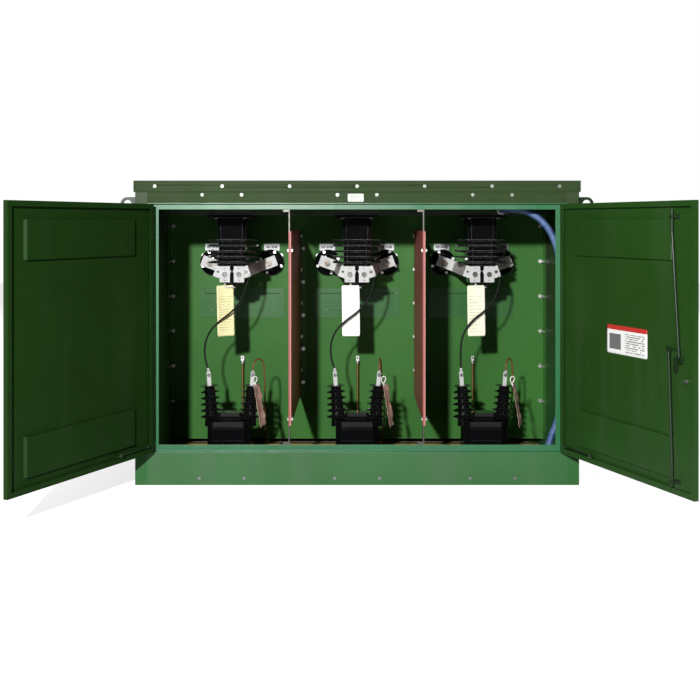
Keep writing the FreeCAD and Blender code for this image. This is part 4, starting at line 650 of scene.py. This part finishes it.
def crumpled(draws):
    """Uneven folds of the card that is bagged beside a voltage transformer."""
    return lambda x, z: (0.0030 * math.sin(z * 70 + draws[0] * 3) * (0.4 + 0.6 * math.sin(x * 60 + draws[1]))
                         + 0.0016 * math.sin(z * 160 + x * 90 + draws[2] * 5) + 0.003 * (x / 0.032) ** 2)


def tie_at(name, eye, steps, diameter):
    """White nylon tie through the eye of a card."""
    route = [tuple(place + step for place, step in zip(eye, move)) for move in steps]
    place_piece(route_curve(name, route, diameter, sides=3), "cabinet", white_nylon)


for phase, centre in PHASES:
    dx, twist, material = CT_CARDS[phase]
    card = sheet_piece(f"{phase}_ct_card", CARD_WIDE, CARD_TALL, CARD_THICK, 16, 36,
                       curl(0.0035, 0.0012, centre * 3), corner=0.004)
    card.location = (centre + dx, CARD_Y - 0.001, CARD_TOP)
    card.rotation_euler = (0, math.radians(CARD_TILT), math.radians(twist))
    place_piece(card, "cabinet", material, ("instrument_tags",))
    eye = (centre + dx, CARD_Y - 0.0035, CARD_TOP - 0.007)
    tie_at(f"{phase}_ct_card_tie", eye, CT_TIE, 0.0030)

    draws = [random.uniform(-1, 1) for _ in range(6)]
    sleeve = sheet_piece(f"{phase}_vt_card", SLEEVE_WIDE, SLEEVE_TALL, SLEEVE_THICK, 14, 34, crumpled(draws))
    sleeve.matrix_world = (Matrix.Translation((centre + SLEEVE_X, SLEEVE_Y, SLEEVE_TOP))
                           @ Matrix.Rotation(math.radians(SLEEVE_LEAN), 4, "Y")
                           @ Matrix.Rotation(math.radians(SLEEVE_TURN), 4, "Z"))
    place_piece(sleeve, "cabinet", sleeve_card, ("instrument_tags",))
    tie_at(f"{phase}_vt_card_tie", (centre + SLEEVE_X, SLEEVE_Y, SLEEVE_TOP - 0.004), VT_TIE, 0.0050)

marker = printed("phase_marker", rgb(236, 240, 240), rgb(40, 52, 66), rows=3, left=0.14, right=0.86,
                 low=0.30, high=0.70, fill=0.92, aged=0.12)
blank = printed("nameplate_print", rgb(214, 216, 208), rgb(120, 124, 116), rows=7, left=0.12, right=0.88,
                low=0.14, high=0.84, fill=0.34, aged=0.25)
MARKER_WIDE, PLATE_WIDE, PLATE_TALL, PLATE_THICK = 0.075, 0.065, 0.033, 0.0009
MARKER_X, MARKER_Y, MARKER_TOP = 0.1415, 0.0999, 0.963
NAMEPLATE_X, NAMEPLATE_TOP = -0.0055, 1.181


def flat(x, z):
    return 0.0


for phase, centre in PHASES:
    for side, sign in (("load", -1), ("line", 1)):
        plate = sheet_piece(f"{phase}_{side}_marker", MARKER_WIDE, PLATE_TALL, PLATE_THICK, 20, 12, flat,
                            corner=0.003)
        plate.location = (centre + sign * MARKER_X, MARKER_Y, MARKER_TOP)
        place_piece(plate, "cabinet", marker, ("label_plates",))
plate = sheet_piece("nameplate", PLATE_WIDE, PLATE_TALL, PLATE_THICK, 20, 12, flat, corner=0.004)
plate.location = (NAMEPLATE_X, FRONT - 0.0001, NAMEPLATE_TOP)
place_piece(plate, "cabinet", blank, ("label_plates",))

safety = printed("safety_print", rgb(246, 246, 244), INK, rows=13, left=0.46, right=0.94, low=0.10,
                 high=0.74, fill=0.42, aged=0.08, band=rgb(196, 52, 44), band_low=0.84,
                 block=(0.07, 0.36, 0.16, 0.70))
LABEL_NEAR, LABEL_FAR, LABEL_LOW, LABEL_HIGH = 0.314, 0.563, 0.576, 0.682
DOOR_INNER = 0.003
label = sheet_piece("safety_label", LABEL_FAR - LABEL_NEAR, LABEL_HIGH - LABEL_LOW, 0.0006, 30, 16, flat,
                    corner=0.004)
shut = Vector((RIGHT_HINGE.x - (LABEL_NEAR + LABEL_FAR) / 2, FRONT + DOOR_INNER + 0.0001, LABEL_HIGH))
label.matrix_world = (Matrix.Translation(RIGHT_HINGE) @ Matrix.Rotation(RIGHT_OPEN, 4, "Z")
                      @ Matrix.Translation(shut - RIGHT_HINGE) @ Matrix.Rotation(math.pi, 4, "Z"))
place_piece(label, "right_door", safety)

# ---- floor, light ----------------------------------------------------------------------------------
FLOOR_REACH, FLOOR_Z = 14, -0.0005
FOOT_X, FOOT_Y = 0.9, 0.7
mesh = bpy.data.meshes.new("floor")
corners = ((-1, -1), (1, -1), (1, 1), (-1, 1))
mesh.from_pydata([(x * FLOOR_REACH, y * FLOOR_REACH, FLOOR_Z) for x, y in corners], [], [(0, 1, 2, 3)])
floor = bpy.data.objects.new("floor", mesh)
bpy.context.scene.collection.objects.link(floor)
pale = Shader("pale_floor", roughness=0.9, Emission_Color=(1, 1, 1, 1))
across, along, _ = pale.axes()
covered = pale.math("MULTIPLY", pale.math("LESS_THAN", pale.math("ABSOLUTE", across), FOOT_X),
                    pale.math("LESS_THAN", pale.math("ABSOLUTE", along), FOOT_Y))
straight = pale.add("ShaderNodeLightPath").outputs["Is Camera Ray"]
glow = pale.math("MULTIPLY", straight, pale.spread(covered, 0.0, 1.0, 0.80, 0.0))
pale.feed(pale.surface.inputs["Emission Strength"], glow)
pad = pale.mix(pale.noise(3, 4, 0.6), (0.52, 0.52, 0.51, 1), (0.58, 0.58, 0.57, 1))
pale.colour(pale.mix(covered, pad, (0.30, 0.25, 0.19, 1)))
floor.data.materials.append(pale.done())


def area_light(name, place, aim, size, watts):
    light = bpy.data.lights.new(name, "AREA")
    light.shape = "DISK"
    light.size = size
    light.energy = watts
    lamp = bpy.data.objects.new(name, light)
    bpy.context.scene.collection.objects.link(lamp)
    lamp.location = place
    lamp.rotation_euler = (Vector(aim) - Vector(place)).to_track_quat("-Z", "Y").to_euler()
    lamp.visible_camera = False


area_light("key", (-0.9, -6.05, 2.25), (0, -0.3, 0.7), 0.22, 400)
area_light("fill", (-3.0, -7.0, 3.0), (0, -0.5, 0.6), 4.0, 10)
area_light("top", (0, 3.0, 6.0), (0, 0, 0.6), 1.5, 110)
area_light("back", (1.5, 7.5, 3.0), (0, 0.5, 0.6), 3.0, 420)

world = bpy.data.worlds.new("studio")
bpy.context.scene.world = world
world.use_nodes = True
sky = world.node_tree
soft = sky.nodes["Background"]
soft.inputs["Color"].default_value = (1, 1, 1, 1)
soft.inputs["Strength"].default_value = 0.03
backdrop = sky.nodes.new("ShaderNodeBackground")
backdrop.inputs["Color"].default_value = (1, 1, 1, 1)
backdrop.inputs["Strength"].default_value = 1.0
seen = sky.nodes.new("ShaderNodeLightPath")
either = sky.nodes.new("ShaderNodeMixShader")
sky.links.new(seen.outputs["Is Camera Ray"], either.inputs[0])
sky.links.new(soft.outputs[0], either.inputs[1])
sky.links.new(backdrop.outputs[0], either.inputs[2])
sky.links.new(either.outputs[0], sky.nodes["World Output"].inputs["Surface"])
bpy.context.scene.view_settings.view_transform = "Standard"
